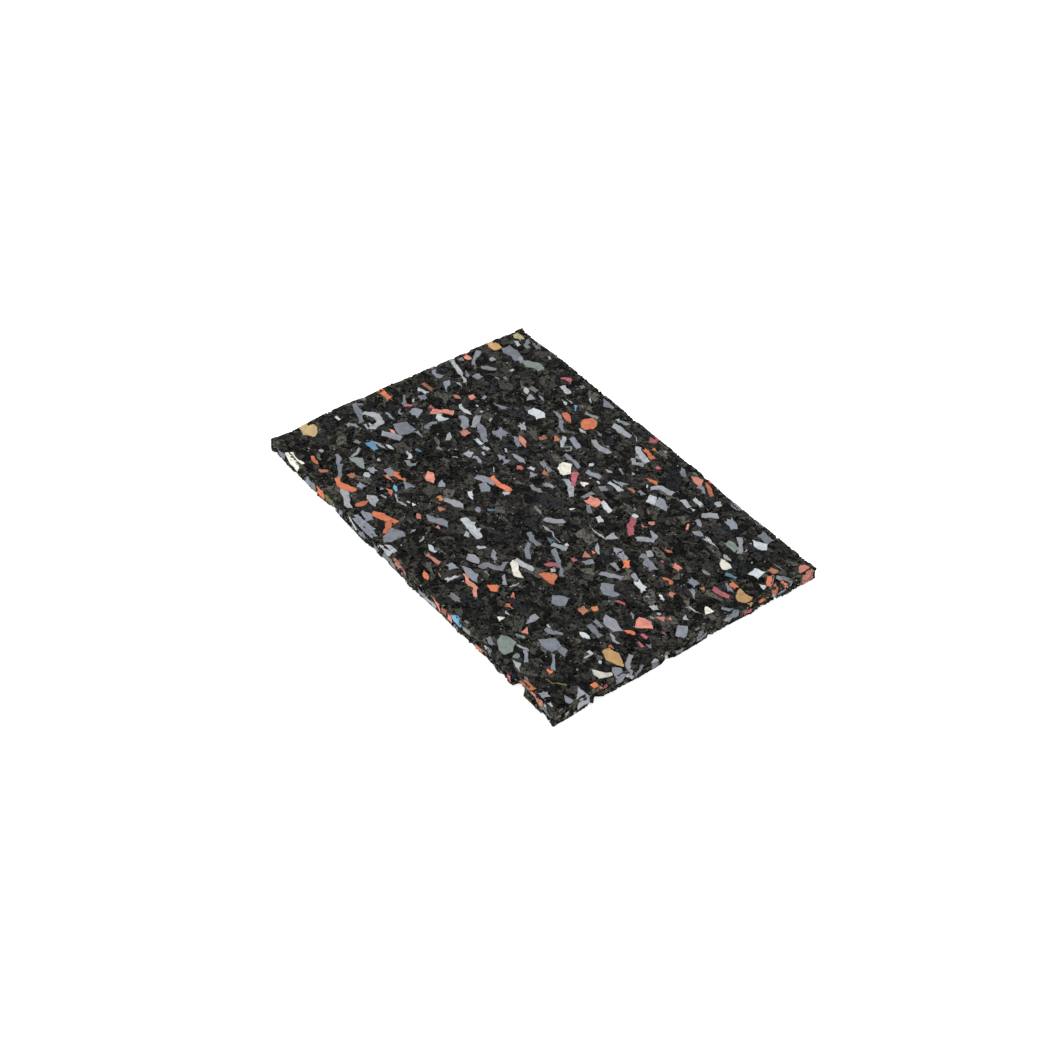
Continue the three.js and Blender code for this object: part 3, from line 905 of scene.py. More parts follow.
def layCells(part, sheet, rim, places, toSpace, zone, inward):
    # places gives the set places of the rim's points, and toSpace lays the others on the mat
    points, origins, cells = sheet
    spots = {}
    for i, origin in enumerate(origins):
        rimPoint = [k for k in origin if k < len(places)]
        if rimPoint:
            spots[i] = places[rimPoint[0]]
        elif not origin:
            spots[i] = rimCrossing(points[i], rim, places)
    rimSpots = {i for i, spot in spots.items() if spot is not None}
    part["rim"].update(pointNumber(part, spots[i]) for i in rimSpots)
    for cell in cells:
        corners = []
        for i in cell["loop"]:
            if spots.get(i) is None:
                spots[i] = toSpace(points[i])
            corners.append(spots[i])
        cell["zone"] = zone
        cell["inward"] = inward
        middle = sum(corners, Vector()) / len(corners)
        cell["bent"] = max(abs((p - middle).dot(inward)) for p in corners)
        cell["atRim"] = any(i in rimSpots for i in cell["loop"])
        cell["corners"] = list(dict.fromkeys(pointNumber(part, p) for p in corners))
        if len(cell["corners"]) > 2:
            part["cells"].append(cell)


def valleyLift(point):
    return noise.noise(point.to_3d() * valleyWave["scale"]) * valleyWave["high"]


def topPlace(point):
    return Vector((point.x, point.y, matTop - valleyDepth + valleyLift(point)))


def underPlace(point):
    return Vector((-point.x, point.y, valleyDepth - valleyLift(point)))


def sidePlace(number):
    side = sides[number]

    def place(point):
        lump = sideLumps["high"] * noise.noise(Vector((point.x, point.y, 31 * number)) * sideLumps["scale"])
        lump = min(max(lump, sideLumps["least"]), sideLumps["most"])
        around = ((0, 0), (biteRoom["before"], 0), (-biteRoom["after"], 0), (0, -biteRoom["above"]))
        depth = max(sideDepth(number, point.x + dt, point.y + dz) for dt, dz in around)
        share = min(min(point.y, matTop - point.y) / sideLumps["rounding"], 1)
        depth += (sideLumps["valley"] + lump) * (sideLumps["atEdge"] * (1 - share) + share)
        return lifted(side["along"] * point.x + side["inward"] * depth, point.y)
    return place


def runOver(flakes, runs, mirror):
    # a flake that comes close to the edge was cut through by the knife
    for flake in flakes:
        for i, p in enumerate(flake["outline"]):
            spot = Vector((p.x * mirror, p.y))
            for side, run in zip(sides, runs):
                room = side["inward"].dot(spot) - runDepth(run, side["along"].dot(spot))
                if room < edgeLook["cutFrom"]:
                    spot = spot - side["inward"] * (room + edgeLook["cutTo"])
            flake["outline"][i] = Vector((spot.x * mirror, spot.y))


def makeTopSheet(flakes):
    places = []
    for number in range(4):
        places += [columns[number][-1]] + [place for _, place in topRims[number]]
    rim = [(p.x, p.y) for p in places]
    low, high = (-halfLength, -halfWidth), (halfLength, halfWidth)
    shapes = strewPits(low, high, *topLook["pits"])
    shapes += strewGranules(low, high, topLook["granules"]) + strewSpecks(low, high, topLook["specks"])
    sheet = cutSheet(rim, shapes + flakes, topLook, lambda p: edgeRoom(topRuns, p.x, p.y) - sheetRoom)
    part = newPart("crumb_top")
    layCells(part, sheet, rim, places, topPlace, zoneNames.index("top"), Vector((0, 0, -1)))
    return part


def makeUnderSheet():
    # worked as seen from below, so x is mirrored
    places = []
    for number in reversed(range(4)):
        places += [columns[(number + 1) % 4][0]] + [place for _, place in reversed(underRims[number])]
    rim = [(-p.x, p.y) for p in places]
    low, high = (-halfLength, -halfWidth), (halfLength, halfWidth)
    shapes = strewPits(low, high, *underLook["pits"])
    shapes += strewGranules(low, high, underLook["granules"]) + strewSpecks(low, high, underLook["specks"])
    flakes = strewFlakes(low, high, underLook["flakes"])
    runOver(flakes, underRuns, -1)
    sheet = cutSheet(rim, shapes + flakes, underLook, lambda p: edgeRoom(underRuns, -p.x, p.y) - sheetRoom)
    part = newPart("crumb_under")
    layCells(part, sheet, rim, places, underPlace, zoneNames.index("under"), Vector((0, 0, 1)))
    for flake in flakes:
        flake["outline"] = [Vector((-p.x, p.y)) for p in flake["outline"]]
    return part, flakes


# Flakes seen in the cut sides: (t, z, length, height, turn, tint)

seenInSides = {
    front: [
        (-67, 1.9, 3.6, 2.2, 0, "blueGrey"), (-60, 3.2, 5, 1.8, 5, "lilacGrey"),
        (-50, 2.2, 5.4, 3.6, 0, "greenGrey"), (-44.8, 2.2, 4.4, 4, 0, "orange"),
        (-39.8, 2.2, 5, 3.4, 5, "olive"), (-21, 2.2, 4.6, 2.4, 8, "blueGrey"),
        (-6, 1.5, 5, 2.6, 0, "dimGrey"), (10, 1.6, 4, 2.2, -8, "blueGrey"),
        (20.6, 2.6, 2.6, 2.6, 0, "brick"), (23.8, 2.3, 2.4, 3, 0, "salmon"),
        (31.6, 3.2, 4.2, 3, 0, "dimGrey"), (41.5, 3.7, 2.8, 1.6, 0, "whiteGrey"),
        (53, 2.6, 2.2, 2.6, 0, "crimson"), (69.2, 2.2, 5.8, 2.2, -12, "dimGrey"),
    ],
    right: [
        (-47, 2.3, 2, 1.8, 0, "paleGrey"), (-40.6, 2.8, 4.4, 4, 0, "paleGrey"),
        (-19.7, 3, 4.2, 2.6, 32, "blueGrey"), (-13.4, 3.2, 3, 3, 0, "paleGrey"),
        (-4, 1.6, 3.4, 2, 0, "lilacGrey"), (5, 2.1, 4.4, 2.2, 0, "blueGrey"),
        (16.6, 2.8, 5, 3.6, 0, "paleGrey"), (24, 1.6, 3, 2, 10, "crimson"),
        (30, 3, 4, 2.2, -8, "orange"), (38, 1.9, 4, 2.2, 6, "blueGrey"), (49, 2.6, 4, 4.4, 0, "salmon"),
    ],
}
seenSideStrips = {  # (tint, height, path)
    front: [
        ("whiteGrey", 0.9, (-29, 3.6), (-26.5, 2.8), (-24.2, 1.6)),
        ("crimson", 1.5, (-2, 4.4), (0.5, 3.3), (2.4, 2.2)),
        ("salmon", 1.6, (15, 4.8), (17.2, 3), (19, 0.8)),
        ("whiteGrey", 0.8, (29, 0.5), (31, 1), (33, 0.4)),
        ("salmon", 1.5, (61.6, 4.8), (64.5, 3.8), (67, 2.6)),
    ],
    right: [("paleGrey", 1.6, (-24.8, 5), (-23.6, 3.2), (-21.8, 1.2))],
}
cutForms = ["slab", "slab", "chip", "shard"]
cutShow = {"least": 0.5, "reach": (1.4, 4.6), "reachBase": 1, "reachShare": 0.9, "over": 0.3,
           "lean": (0, 0.3), "uneven": (0.6, 1), "wider": 0.1}
cornerClear = 0.3  # shapes keep this far off the upright corners, which two sides share


def cutThrough(number, runs, flakes, edge, into):
    # a flake that the knife went through shows in the side too, from the edge down or up
    side = sides[number]
    run = runs[number]
    shapes = []
    for flake in flakes:
        over = []
        for p in flake["outline"]:
            t = side["along"].dot(p)
            if run["t"][0] < t < run["t"][-1] and side["inward"].dot(p) < runDepth(run, t):
                over.append(t)
        if len(over) < 2 or max(over) - min(over) < cutShow["least"]:
            continue
        first, last = min(over) - cutShow["wider"], max(over) + cutShow["wider"]
        mostReach = cutShow["reachBase"] + (last - first) * cutShow["reachShare"]
        reach = min(rng.uniform(*cutShow["reach"]), mostReach)
        outline = [(t, edge - into * cutShow["over"]) for t in (first, last)]
        for t, lean in ((last, first - last), (first, last - first)):
            t += rng.uniform(*cutShow["lean"]) * lean
            outline.append((t, edge + into * reach * rng.uniform(*cutShow["uneven"])))
        shape = makeShape(outline, flake["tint"], raggedness["side"])
        shape["tone"] = flake["tone"]
        shapes.append(shape)
    return shapes


def makeSideSheets(topFlakes, underFlakes):
    part = newPart("crumb_sides")
    for number, side in enumerate(sides):
        first, last = topRuns[number]["t"][0], topRuns[number]["t"][-1]
        after = columns[(number + 1) % 4]
        edge = [(first, 0, columns[number][0])]
        edge += [(t, 0, place) for t, place in underRims[number]]
        edge += [(last, matTop * i / cornerSteps, place) for i, place in enumerate(after)]
        edge += [(t, matTop, place) for t, place in reversed(topRims[number])]
        edge += [(first, matTop * i / cornerSteps, columns[number][i]) for i in range(cornerSteps, 0, -1)]
        rim = [(t, z) for t, z, place in edge]
        places = [place for t, z, place in edge]

        def room(point):
            return min(point.x - first, last - point.x, point.y, matTop - point.y)

        low, high = (first, 0), (last, matTop)
        seen = seenInSides.get(number, [])
        shapes = strewPits(low, high, *sideLook["pits"]) + strewGranules(low, high, *sideLook["granules"])
        shapes += strewSpecks(low, high, sideLook["specks"])
        if not seen:
            shapes += strewFlakes(low, high, *sideLook["flakes"])
        for t, z, long, tall, turn, tint in seen:
            outline = flakeOutline(rng.choice(cutForms), t, z, long, tall, turn)
            shapes.append(makeShape(outline, tint, raggedness["side"]))
        for tint, tall, *path in seenSideStrips.get(number, []):
            shapes.append(makeShape(stripOutline(path, tall), tint, raggedness["side"]))
        shapes += cutThrough(number, topRuns, topFlakes, matTop, -1)
        shapes += cutThrough(number, underRuns, underFlakes, 0, 1)
        for shape in shapes:
            for p in shape["outline"]:
                p.x = min(max(p.x, first + cornerClear), last - cornerClear)
        sheet = cutSheet(rim, shapes, sideLook, room)
        inward = side["inward"].to_3d()
        layCells(part, sheet, rim, places, sidePlace(number), zoneNames.index("front") + number, inward)
    return part


topFlakes = seenShapes()
runOver(topFlakes, topRuns, 1)
topRims = [raggedRim(number, topRuns, topLevel, -1, topFlakes) for number in range(4)]
underRims = [raggedRim(number, underRuns, underLevel, 1, []) for number in range(4)]
topPart = makeTopSheet(topFlakes)
underPart, underFlakes = makeUnderSheet()
sidePart = makeSideSheets(topFlakes, underFlakes)
parts = [topPart, underPart, sidePart]
for part in parts:
    print(part["name"], len(part["points"]), "points", len(part["cells"]), "cells")


# Making the meshes

def goTo(mode):
    bpy.ops.object.mode_set(mode=mode)


def alone(obj):
    if bpy.context.mode != "OBJECT":
        goTo("OBJECT")
    bpy.ops.object.select_all(action="DESELECT")
    obj.select_set(True)
    bpy.context.view_layer.objects.active = obj


def editFaces(obj, wanted):
    # goes to edit mode with only these faces selected
    alone(obj)
    mesh = obj.data
    mesh.vertices.foreach_set("select", [False] * len(mesh.vertices))
    mesh.edges.foreach_set("select", [False] * len(mesh.edges))
    mesh.polygons.foreach_set("select", wanted)
    bpy.context.tool_settings.mesh_select_mode = (False, False, True)
    goTo("EDIT")


def insetFaces(thickness, depth):
    bpy.ops.mesh.inset(use_individual=True, use_even_offset=False, thickness=thickness * mm, depth=depth * mm)


def faceValues(mesh, name):
    values = [0] * len(mesh.polygons)
    mesh.attributes[name].data.foreach_get("value", values)
    return values


def setFaceValues(mesh, name, values, kind="INT"):
    attribute = mesh.attributes.get(name) or mesh.attributes.new(name, kind, "FACE")
    attribute.data.foreach_set("value", values)


def markCrests(obj):
    # the faces that an inset leaves selected are the tops of crumbs
    goTo("OBJECT")
    mesh = obj.data
    crest = mesh.attributes["crest"]
    for face in mesh.polygons:
        if face.select:
            for i in face.vertices:
                crest.data[i].value = 1


# (inset, rise) of each kind of crumb. A pass works on all the faces that have its number.

crumbPasses = [(0.07, 0.18), (0.08, 0.24), (0.1, 0.29), (0.07, 0.33), (0.13, 0.27), (0.09, 0.12)]
sidePasses = [(0.1, 0.2), (0.12, 0.34), (0.14, 0.46), (0.1, 0.4), (0.16, 0.3), (0.12, 0.1)]
pitPass = (0.05, -0.5)
socketPass = (0.03, -0.22)
smoothPass = (0.1, 0.32)
rimPass = (0.08, 0.1)  # crumbs at a cut edge are already near the surface
pitNumber, socketNumber, smoothNumber, rimNumber = range(len(crumbPasses), len(crumbPasses) + 4)
lowPasses = (0, 5)
smallCrumb = 0.35      # square mm
bentMost = 0.6         # a crumb that is less flat than this is broken up
crumbShake = 0.04


def passNumber(cell):
    flake = cell["kind"] == "shape" and cell["shape"]["tint"] != "smoothBlack"
    if cell["atRim"] and not flake:
        return rimNumber
    if cell["kind"] == "pit":
        return pitNumber
    if cell["kind"] == "shape":
        return socketNumber if flake else smoothNumber
    if cell["area"] < smallCrumb:
        return rng.choice((*lowPasses, pitNumber))
    return rng.randrange(len(crumbPasses))


def meshObject(name, points, faces):
    mesh = bpy.data.meshes.new(name)
    mesh.from_pydata([p * mm for p in points], [], faces)
    obj = bpy.data.objects.new(name, mesh)
    bpy.context.scene.collection.objects.link(obj)
    return obj


def blankMesh(name, points, faces, cells):
    obj = meshObject(name, points, faces)
    mesh = obj.data
    setFaceValues(mesh, "zone", [c["zone"] for c in cells])
    setFaceValues(mesh, "tone", [c["shape"]["tone"] if c["shape"] else c["tone"] for c in cells], "FLOAT")
    return obj


def makeCrumb(part, passes):
    cells = []
    for cell in part["cells"]:
        if cell["bent"] > bentMost and len(cell["corners"]) > 3:
            # crumbs that run over a step in a bite are broken up
            middle = sum((part["points"][i] for i in cell["corners"]), Vector()) / len(cell["corners"])
            hub = pointNumber(part, middle)
            ring = cell["corners"]
            for a, b in inTurn(ring):
                cells.append(dict(cell, corners=[a, b, hub], kind="crumb", shape=None, area=1))
        else:
            cells.append(cell)
    obj = blankMesh(part["name"], part["points"], [c["corners"] for c in cells], cells)
    setFaceValues(obj.data, "rise", [passNumber(c) for c in cells])
    # crest is 1 on the crumb tops and on the rim, and the crumb rubber paints shade where it is less
    crest = obj.data.attributes.new("crest", "FLOAT", "POINT")
    for i in part["rim"]:
        crest.data[i].value = 1
    for number, (thickness, depth) in enumerate(passes + [pitPass, socketPass, smoothPass, rimPass]):
        editFaces(obj, [r == number for r in faceValues(obj.data, "rise")])
        insetFaces(thickness, depth)
        if number < len(passes):
            bpy.ops.transform.vertex_random(offset=crumbShake * mm, uniform=0, normal=1, seed=number)
        if number in (pitNumber, socketNumber):
            goTo("OBJECT")
        else:
            markCrests(obj)
    return obj


crumbTop = makeCrumb(topPart, crumbPasses)
crumbUnder = makeCrumb(underPart, crumbPasses)
crumbSides = makeCrumb(sidePart, sidePasses)
print("crumbs raised")


# Crumbs that stand out along the cut edges and in the cut sides. A few are shaped, and the rest are copies.

edgeCrumbLook = {
    "models": 7,
    "modelSize": 1.6, "rounding": 0.35, "shake": 0.32,
    "stretch": ((1, 1.5), (0.8, 1.1), (0.6, 0.95)),
    "smoothShare": 0.3,
    "clear": 1,               # from a side's ends
    "sideClear": 0.9,         # from its edges
    "spread": (0.5, 1.7),     # of the gap along an edge
    "sunk": (0.9, 1.5),       # of the size, like the next two
    "edgeSunk": (0.7, 1.4),
    "cornerSunk": (0.4, 0.8), "cornerClear": 0.8,
    "edgeGap": 6, "edgeSize": (0.4, 0.8),
    "sideGap": 5.5, "sideSize": (0.4, 0.8),
    "cornerSize": (0.4, 0.7),
}


def crumbModels():
    # chunks with a few dozen faces, about 2 across
    models = []
    for number in range(edgeCrumbLook["models"]):
        bpy.ops.mesh.primitive_cube_add(size=edgeCrumbLook["modelSize"])
        obj = bpy.context.object
        goTo("EDIT")
        bpy.ops.mesh.select_all(action="SELECT")
        bpy.ops.mesh.subdivide(number_cuts=1, smoothness=edgeCrumbLook["rounding"])
        bpy.ops.transform.vertex_random(offset=edgeCrumbLook["shake"], uniform=1, normal=0, seed=number + 1)
        goTo("OBJECT")
        points = [v.co.copy() for v in obj.data.vertices]
        faces = [tuple(p.vertices) for p in obj.data.polygons]
        models.append((points, faces))
        bpy.data.objects.remove(obj, do_unlink=True)
    return models


def edgeCrumbPlaces():
    # (place, size) for each crumb: its middle lies about its own size under the surface
    look = edgeCrumbLook
    places = []
    for number, side in enumerate(sides):
        for runs, z, inward in ((topRuns, matTop, -1), (underRuns, 0, 1)):
            run = runs[number]
            t = run["t"][0] + look["clear"]
            while t < run["t"][-1] - look["clear"]:
                size = rng.uniform(*look["edgeSize"])
                depth = runDepth(run, t) + size * rng.uniform(*look["sunk"])
                spot = side["along"] * t + side["inward"] * depth
                places.append((lifted(spot, z + inward * size * rng.uniform(*look["edgeSunk"])), size))
                t += look["edgeGap"] * rng.uniform(*look["spread"])
        low = (topRuns[number]["t"][0] + look["clear"], look["sideClear"])
        high = (topRuns[number]["t"][-1] - look["clear"], matTop - look["sideClear"])
        for seed in looseGrid(low, high, look["sideGap"], looseShake):
            size = rng.uniform(*look["sideSize"])
            depth = sideDepth(number, seed.x, seed.y) + size * rng.uniform(*look["sunk"])
            places.append((lifted(side["along"] * seed.x + side["inward"] * depth, seed.y), size))
        corner = columns[number]
        before = sides[number - 1]
        for place in corner[::3]:
            size = rng.uniform(*look["cornerSize"])
            inwards = (before["inward"] + side["inward"]) * size * rng.uniform(*look["cornerSunk"])
            spot = place + inwards.to_3d()
            spot.z = min(max(spot.z, size * look["cornerClear"]), matTop - size * look["cornerClear"])
            places.append((spot, size))
    return places


def makeEdgeCrumbs():
    models = crumbModels()
    points, faces, tones = [], [], []
    for place, size in edgeCrumbPlaces():
        modelPoints, modelFaces = rng.choice(models)
        turn = Euler([rng.uniform(0, 2 * math.pi) for _ in range(3)]).to_matrix()
        stretch = Vector([rng.uniform(*limits) for limits in edgeCrumbLook["stretch"]]) * size
        first = len(points)
        for p in modelPoints:
            points.append(place + turn @ (p * stretch))
        faces += [[first + i for i in face] for face in modelFaces]
        tones += [rng.random() + (rng.random() < edgeCrumbLook["smoothShare"])] * len(modelFaces)
    obj = meshObject("edge_crumbs", points, faces)
    mesh = obj.data
    setFaceValues(mesh, "tone", tones, "FLOAT")
    crest = mesh.attributes.new("crest", "FLOAT", "POINT")
    # the edge crumbs are all crest, so they get no painted crevice shade
    crest.data.foreach_set("value", [1] * len(points))
    return obj


edgeCrumbs = makeEdgeCrumbs()
print("edge crumbs set")


# Flakes are closed blanks as thick as their sockets are deep, raised to the face and bevelled

flakeFamilies = {
    "flakes_blue_grey": ["blueGrey", "lilacGrey", "dimGrey"],
    "flakes_pale": ["paleGrey", "whiteGrey"],
    "flakes_red": ["orange", "salmon", "brick", "crimson", "apricot"],
    "flakes_rare": ["cream", "tan", "oliveTan", "sand", "greenGrey", "teal", "deepBlue", "skyBlue", "olive"],
}
flakeLook = {"into": 0.22, "taper": 0.1, "rise": 0.29, "rimRise": 0.12,
             "slope": 0.05, "bevel": 0.035, "bevelRise": 0.025}


def makeFlakes(name, tints):
    points, faces, owners, upper = [], [], [], []
    for part in parts:
        for cell in part["cells"]:
            if not cell["shape"] or cell["kind"] != "shape" or cell["shape"]["tint"] not in tints:
                continue
            if cell["bent"] > bentMost:
                continue
            ring = [part["points"][i] for i in cell["corners"]]
            middle = sum(ring, Vector()) / len(ring)
            first = len(points)
            count = len(ring)
            points += ring
            points += [p.lerp(middle, flakeLook["taper"]) + cell["inward"] * flakeLook["into"] for p in ring]
            faces.append(list(range(first, first + count)))
            faces.append(list(range(first + 2 * count - 1, first + count - 1, -1)))
            for i in range(count):
                j = (i + 1) % count
                faces.append([first + j, first + i, first + count + i, first + count + j])
            owners += [cell] * (count + 2)
            upper += [True] + [False] * (count + 1)
    obj = blankMesh(name, points, faces, owners)
    mesh = obj.data
    hidden = zoneNames.index("hidden")
    setFaceValues(mesh, "zone", [c["zone"] if up else hidden for c, up in zip(owners, upper)])
    for tint in tints:
        mesh.materials.append(flakeRubber(tint))
    mesh.polygons.foreach_set("material_index", [tints.index(c["shape"]["tint"]) for c in owners])
    setFaceValues(mesh, "rise", [(2 if c["atRim"] else 1) if up else 0 for c, up in zip(owners, upper)])
    for group, rise in ((1, flakeLook["rise"]), (2, flakeLook["rimRise"])):
        editFaces(obj, [value == group for value in faceValues(mesh, "rise")])
        for inset, lift in ((flakeLook["slope"], rise), (flakeLook["bevel"], flakeLook["bevelRise"])):
            insetFaces(inset, lift)
        goTo("OBJECT")
    return obj


# Materials

tintColours = {
    "blueGrey": "#7c818b", "lilacGrey": "#84868f", "paleGrey": "#9ca0a5", "whiteGrey": "#bbc0c5",
    "dimGrey": "#787b7c", "greenGrey": "#78837d", "cream": "#e2dfd2", "tan": "#c49c66",
    "oliveTan": "#b5ac80", "sand": "#d2b685", "olive": "#6f6f40", "orange": "#cd7350",
    "salmon": "#cc8472", "brick": "#a2684f", "crimson": "#b25d67", "apricot": "#c27f4e",
    "teal": "#4c6b76", "deepBlue": "#5a87a6", "skyBlue": "#6aa6c6",
}


def fromCode(code):
    shares = [int(code[i:i + 2], 16) / 255 for i in (1, 3, 5)]
    return tuple(Color(shares).from_srgb_to_scene_linear()) + (1,)


def newMaterial(name):
    material = bpy.data.materials.new(name)
    material.use_nodes = True
    tree = material.node_tree
    return material, tree, tree.nodes["Principled BSDF"]


def addNoise(tree, place, scale, detail=3, roughness=0.6):
    texture = tree.nodes.new("ShaderNodeTexNoise")
    texture.inputs["Scale"].default_value = scale
    texture.inputs["Detail"].default_value = detail
    texture.inputs["Roughness"].default_value = roughness
    tree.links.new(place, texture.inputs["Vector"])
    return texture.outputs["Fac"]


def addRamp(tree, value, stops):
    ramp = tree.nodes.new("ShaderNodeValToRGB")
    elements = ramp.color_ramp.elements
    while len(elements) < len(stops):
        elements.new(0.5)
    for element, (position, colour) in zip(elements, stops):
        element.position = position
        element.color = colour
    tree.links.new(value, ramp.inputs["Fac"])
    return ramp.outputs["Color"]


def addMix(tree, factor, a, b, blend="MIX"):
    mix = tree.nodes.new("ShaderNodeMix")
    mix.data_type = "RGBA"
    mix.blend_type = blend
    for socket, value in ((mix.inputs["Factor"], factor), (mix.inputs["A"], a), (mix.inputs["B"], b)):
        if isinstance(value, bpy.types.NodeSocket):
            tree.links.new(value, socket)
        else:
            socket.default_value = value
    return mix.outputs["Result"]


def addRange(tree, value, low, high, newLow, newHigh):
    node = tree.nodes.new("ShaderNodeMapRange")
    node.inputs["From Min"].default_value = low
    node.inputs["From Max"].default_value = high
    node.inputs["To Min"].default_value = newLow
    node.inputs["To Max"].default_value = newHigh
    tree.links.new(value, node.inputs["Value"])
    return node.outputs["Result"]


def addBump(tree, shader, height, distance, strength):
    bump = tree.nodes.new("ShaderNodeBump")
    bump.inputs["Distance"].default_value = distance * mm
    bump.inputs["Strength"].default_value = strength
    tree.links.new(height, bump.inputs["Height"])
    tree.links.new(bump.outputs["Normal"], shader.inputs["Normal"])


def addAttribute(tree, name):
    node = tree.nodes.new("ShaderNodeAttribute")
    node.attribute_name = name
    return node.outputs["Fac"]


def grey(value, tint=(1, 1, 1)):
    return tuple(value * t for t in tint) + (1,)


def addMath(tree, operation, a, b):
    node = tree.nodes.new("ShaderNodeMath")
    node.operation = operation
    for socket, value in zip(node.inputs, (a, b)):
        if isinstance(value, bpy.types.NodeSocket):
            tree.links.new(value, socket)
        else:
            socket.default_value = value
    return node.outputs["Value"]


def addDots(tree, place, gap, radius, share):
    # round spots scattered so far apart, on a share of the places
    cells = tree.nodes.new("ShaderNodeTexVoronoi")
    cells.inputs["Scale"].default_value = 1 / (gap * mm)
    tree.links.new(place, cells.inputs["Vector"])
    spot = addRange(tree, cells.outputs["Distance"], 0.6 * radius / gap, radius / gap, 1, 0)
    split = tree.nodes.new("ShaderNodeSeparateColor")
    tree.links.new(cells.outputs["Color"], split.inputs["Color"])
    picked = addMath(tree, "LESS_THAN", split.outputs["Red"], share)
    return addMath(tree, "MULTIPLY", spot, picked), split.outputs["Green"]


# The first half of these is the fine crumb, by tone, and the second half the smooth granules

crumbColours = {
    "stops": [(0, grey(0.0015)), (0.12, grey(0.004)), (0.25, grey(0.012, (1.03, 1, 0.93))),
              (0.38, grey(0.018, (1.04, 1, 0.9))), (0.49, grey(0.03, (1.02, 1.02, 0.88))),
              (0.5, grey(0.006, (0.9, 1, 1.15))), (0.62, grey(0.012, (0.88, 1, 1.2))),
              (0.74, grey(0.02, (1.02, 1, 0.95))), (0.86, grey(0.032, (1.02, 1.01, 0.93))),
              (1, grey(0.055, (1.03, 1, 0.88)))],
    # painted shade: the dark colour that the walls, valleys and pits between the crumbs fade to
    "creviceShade": grey(0.003),
    # painted shade: the near-black of the small pits
    "holeShade": grey(0.001),
    "grain": ((0.3, grey(0.3)), (0.7, grey(1.7))), "grainShare": 0.8,
    "swarms": (0.53, 0.6, 0, 0.93), "sunk": 1.5,
    "dots": {"gap": 1.15, "radius": 0.22, "share": 0.16},
    "dotStops": ((0, grey(0.06, (1, 1, 0.9))), (0.6, grey(0.15, (0.95, 1, 0.95))), (1, grey(0.45))),
    "bump": (0.06, 0.7),
    "roughness": (0.5, 0.85),
    "specular": 0.07,
}
grainScale = {"crumb": 1100, "swarm": 800, "rough": 1600, "grit": 2600,
              "cloud": 420, "flake": 1700, "smear": 900, "flakeRough": 1200, "flakeGrit": 2200}


def crumbRubber(name, lighter):
    material, tree, shader = newMaterial(name)
    place = tree.nodes.new("ShaderNodeTexCoord").outputs["Object"]
    tone = addRange(tree, addAttribute(tree, "tone"), 0, 2, 0, 1)
    crest = addAttribute(tree, "crest")
    stops = []
    for at, colour in crumbColours["stops"]:
        red, green, blue = [share * more for share, more in zip(colour, lighter)]
        stops.append((at, (red, green, blue, 1)))
    body = addRamp(tree, tone, stops)
    grain = addRamp(tree, addNoise(tree, place, grainScale["crumb"], 4), crumbColours["grain"])
    body = addMix(tree, crumbColours["grainShare"], body, grain, "MULTIPLY")
    # painted shade in the crevices: away from the crumb tops the colour fades to the dark crevice colour
    body = addMix(tree, addRange(tree, crest, 0, 1, 0, 1), crumbColours["creviceShade"], body)
    # painted shade in small pits: swarms of spots are darkened nearly to black, and the bump sinks them
    swarm = addNoise(tree, place, grainScale["swarm"], 3, 0.7)
    holes = addRange(tree, swarm, *crumbColours["swarms"])
    body = addMix(tree, holes, body, crumbColours["holeShade"])
    dots, shade = addDots(tree, place, **crumbColours["dots"])
    body = addMix(tree, dots, body, addRamp(tree, shade, crumbColours["dotStops"]))
    tree.links.new(body, shader.inputs["Base Color"])
    rough = addNoise(tree, place, grainScale["rough"], 2)
    tree.links.new(addRange(tree, rough, 0.3, 0.7, *crumbColours["roughness"]), shader.inputs["Roughness"])
    shader.inputs["Specular IOR Level"].default_value = crumbColours["specular"]
    grit = addNoise(tree, place, grainScale["grit"], 4)
    height = addMath(tree, "SUBTRACT", grit, addMath(tree, "MULTIPLY", holes, crumbColours["sunk"]))
    addBump(tree, shader, height, *crumbColours["bump"])
    return material


flakeSurface = {
    "spread": 0.24,
    "mottle": 0.55, "mottleStops": ((0.3, grey(0.55)), (0.5, grey(1)), (0.7, grey(1.25))),
    "grain": 0.5, "grainStops": ((0.3, grey(0.7)), (0.7, grey(1.25))),
    "stains": (0.6, 0.68, 0, 0.6), "stain": grey(0.025),
    "bump": (0.03, 0.5),
    "roughness": (0.5, 0.75),
    "specular": 0.3,
}


def flakeRubber(tint):
    material, tree, shader = newMaterial("rubber_" + tint)
    place = tree.nodes.new("ShaderNodeTexCoord").outputs["Object"]
    base = fromCode(tintColours[tint])
    spread = flakeSurface["spread"]
    dark = tuple(c * (1 - spread) for c in base[:3]) + (1,)
    light = tuple(min(c * (1 + spread), 0.95) for c in base[:3]) + (1,)
    body = addRamp(tree, addAttribute(tree, "tone"), [(0, dark), (0.5, base), (1, light)])
    cloud = addRamp(tree, addNoise(tree, place, grainScale["cloud"], 3), flakeSurface["mottleStops"])
    body = addMix(tree, flakeSurface["mottle"], body, cloud, "MULTIPLY")
    grain = addRamp(tree, addNoise(tree, place, grainScale["flake"], 3), flakeSurface["grainStops"])
    body = addMix(tree, flakeSurface["grain"], body, grain, "MULTIPLY")
    smear = addNoise(tree, place, grainScale["smear"], 3, 0.7)
    body = addMix(tree, addRange(tree, smear, *flakeSurface["stains"]), body, flakeSurface["stain"])
    tree.links.new(body, shader.inputs["Base Color"])
    rough = addNoise(tree, place, grainScale["flakeRough"], 2)
    tree.links.new(addRange(tree, rough, 0.3, 0.7, *flakeSurface["roughness"]), shader.inputs["Roughness"])
    shader.inputs["Specular IOR Level"].default_value = flakeSurface["specular"]
    addBump(tree, shader, addNoise(tree, place, grainScale["flakeGrit"], 3), *flakeSurface["bump"])
    return material


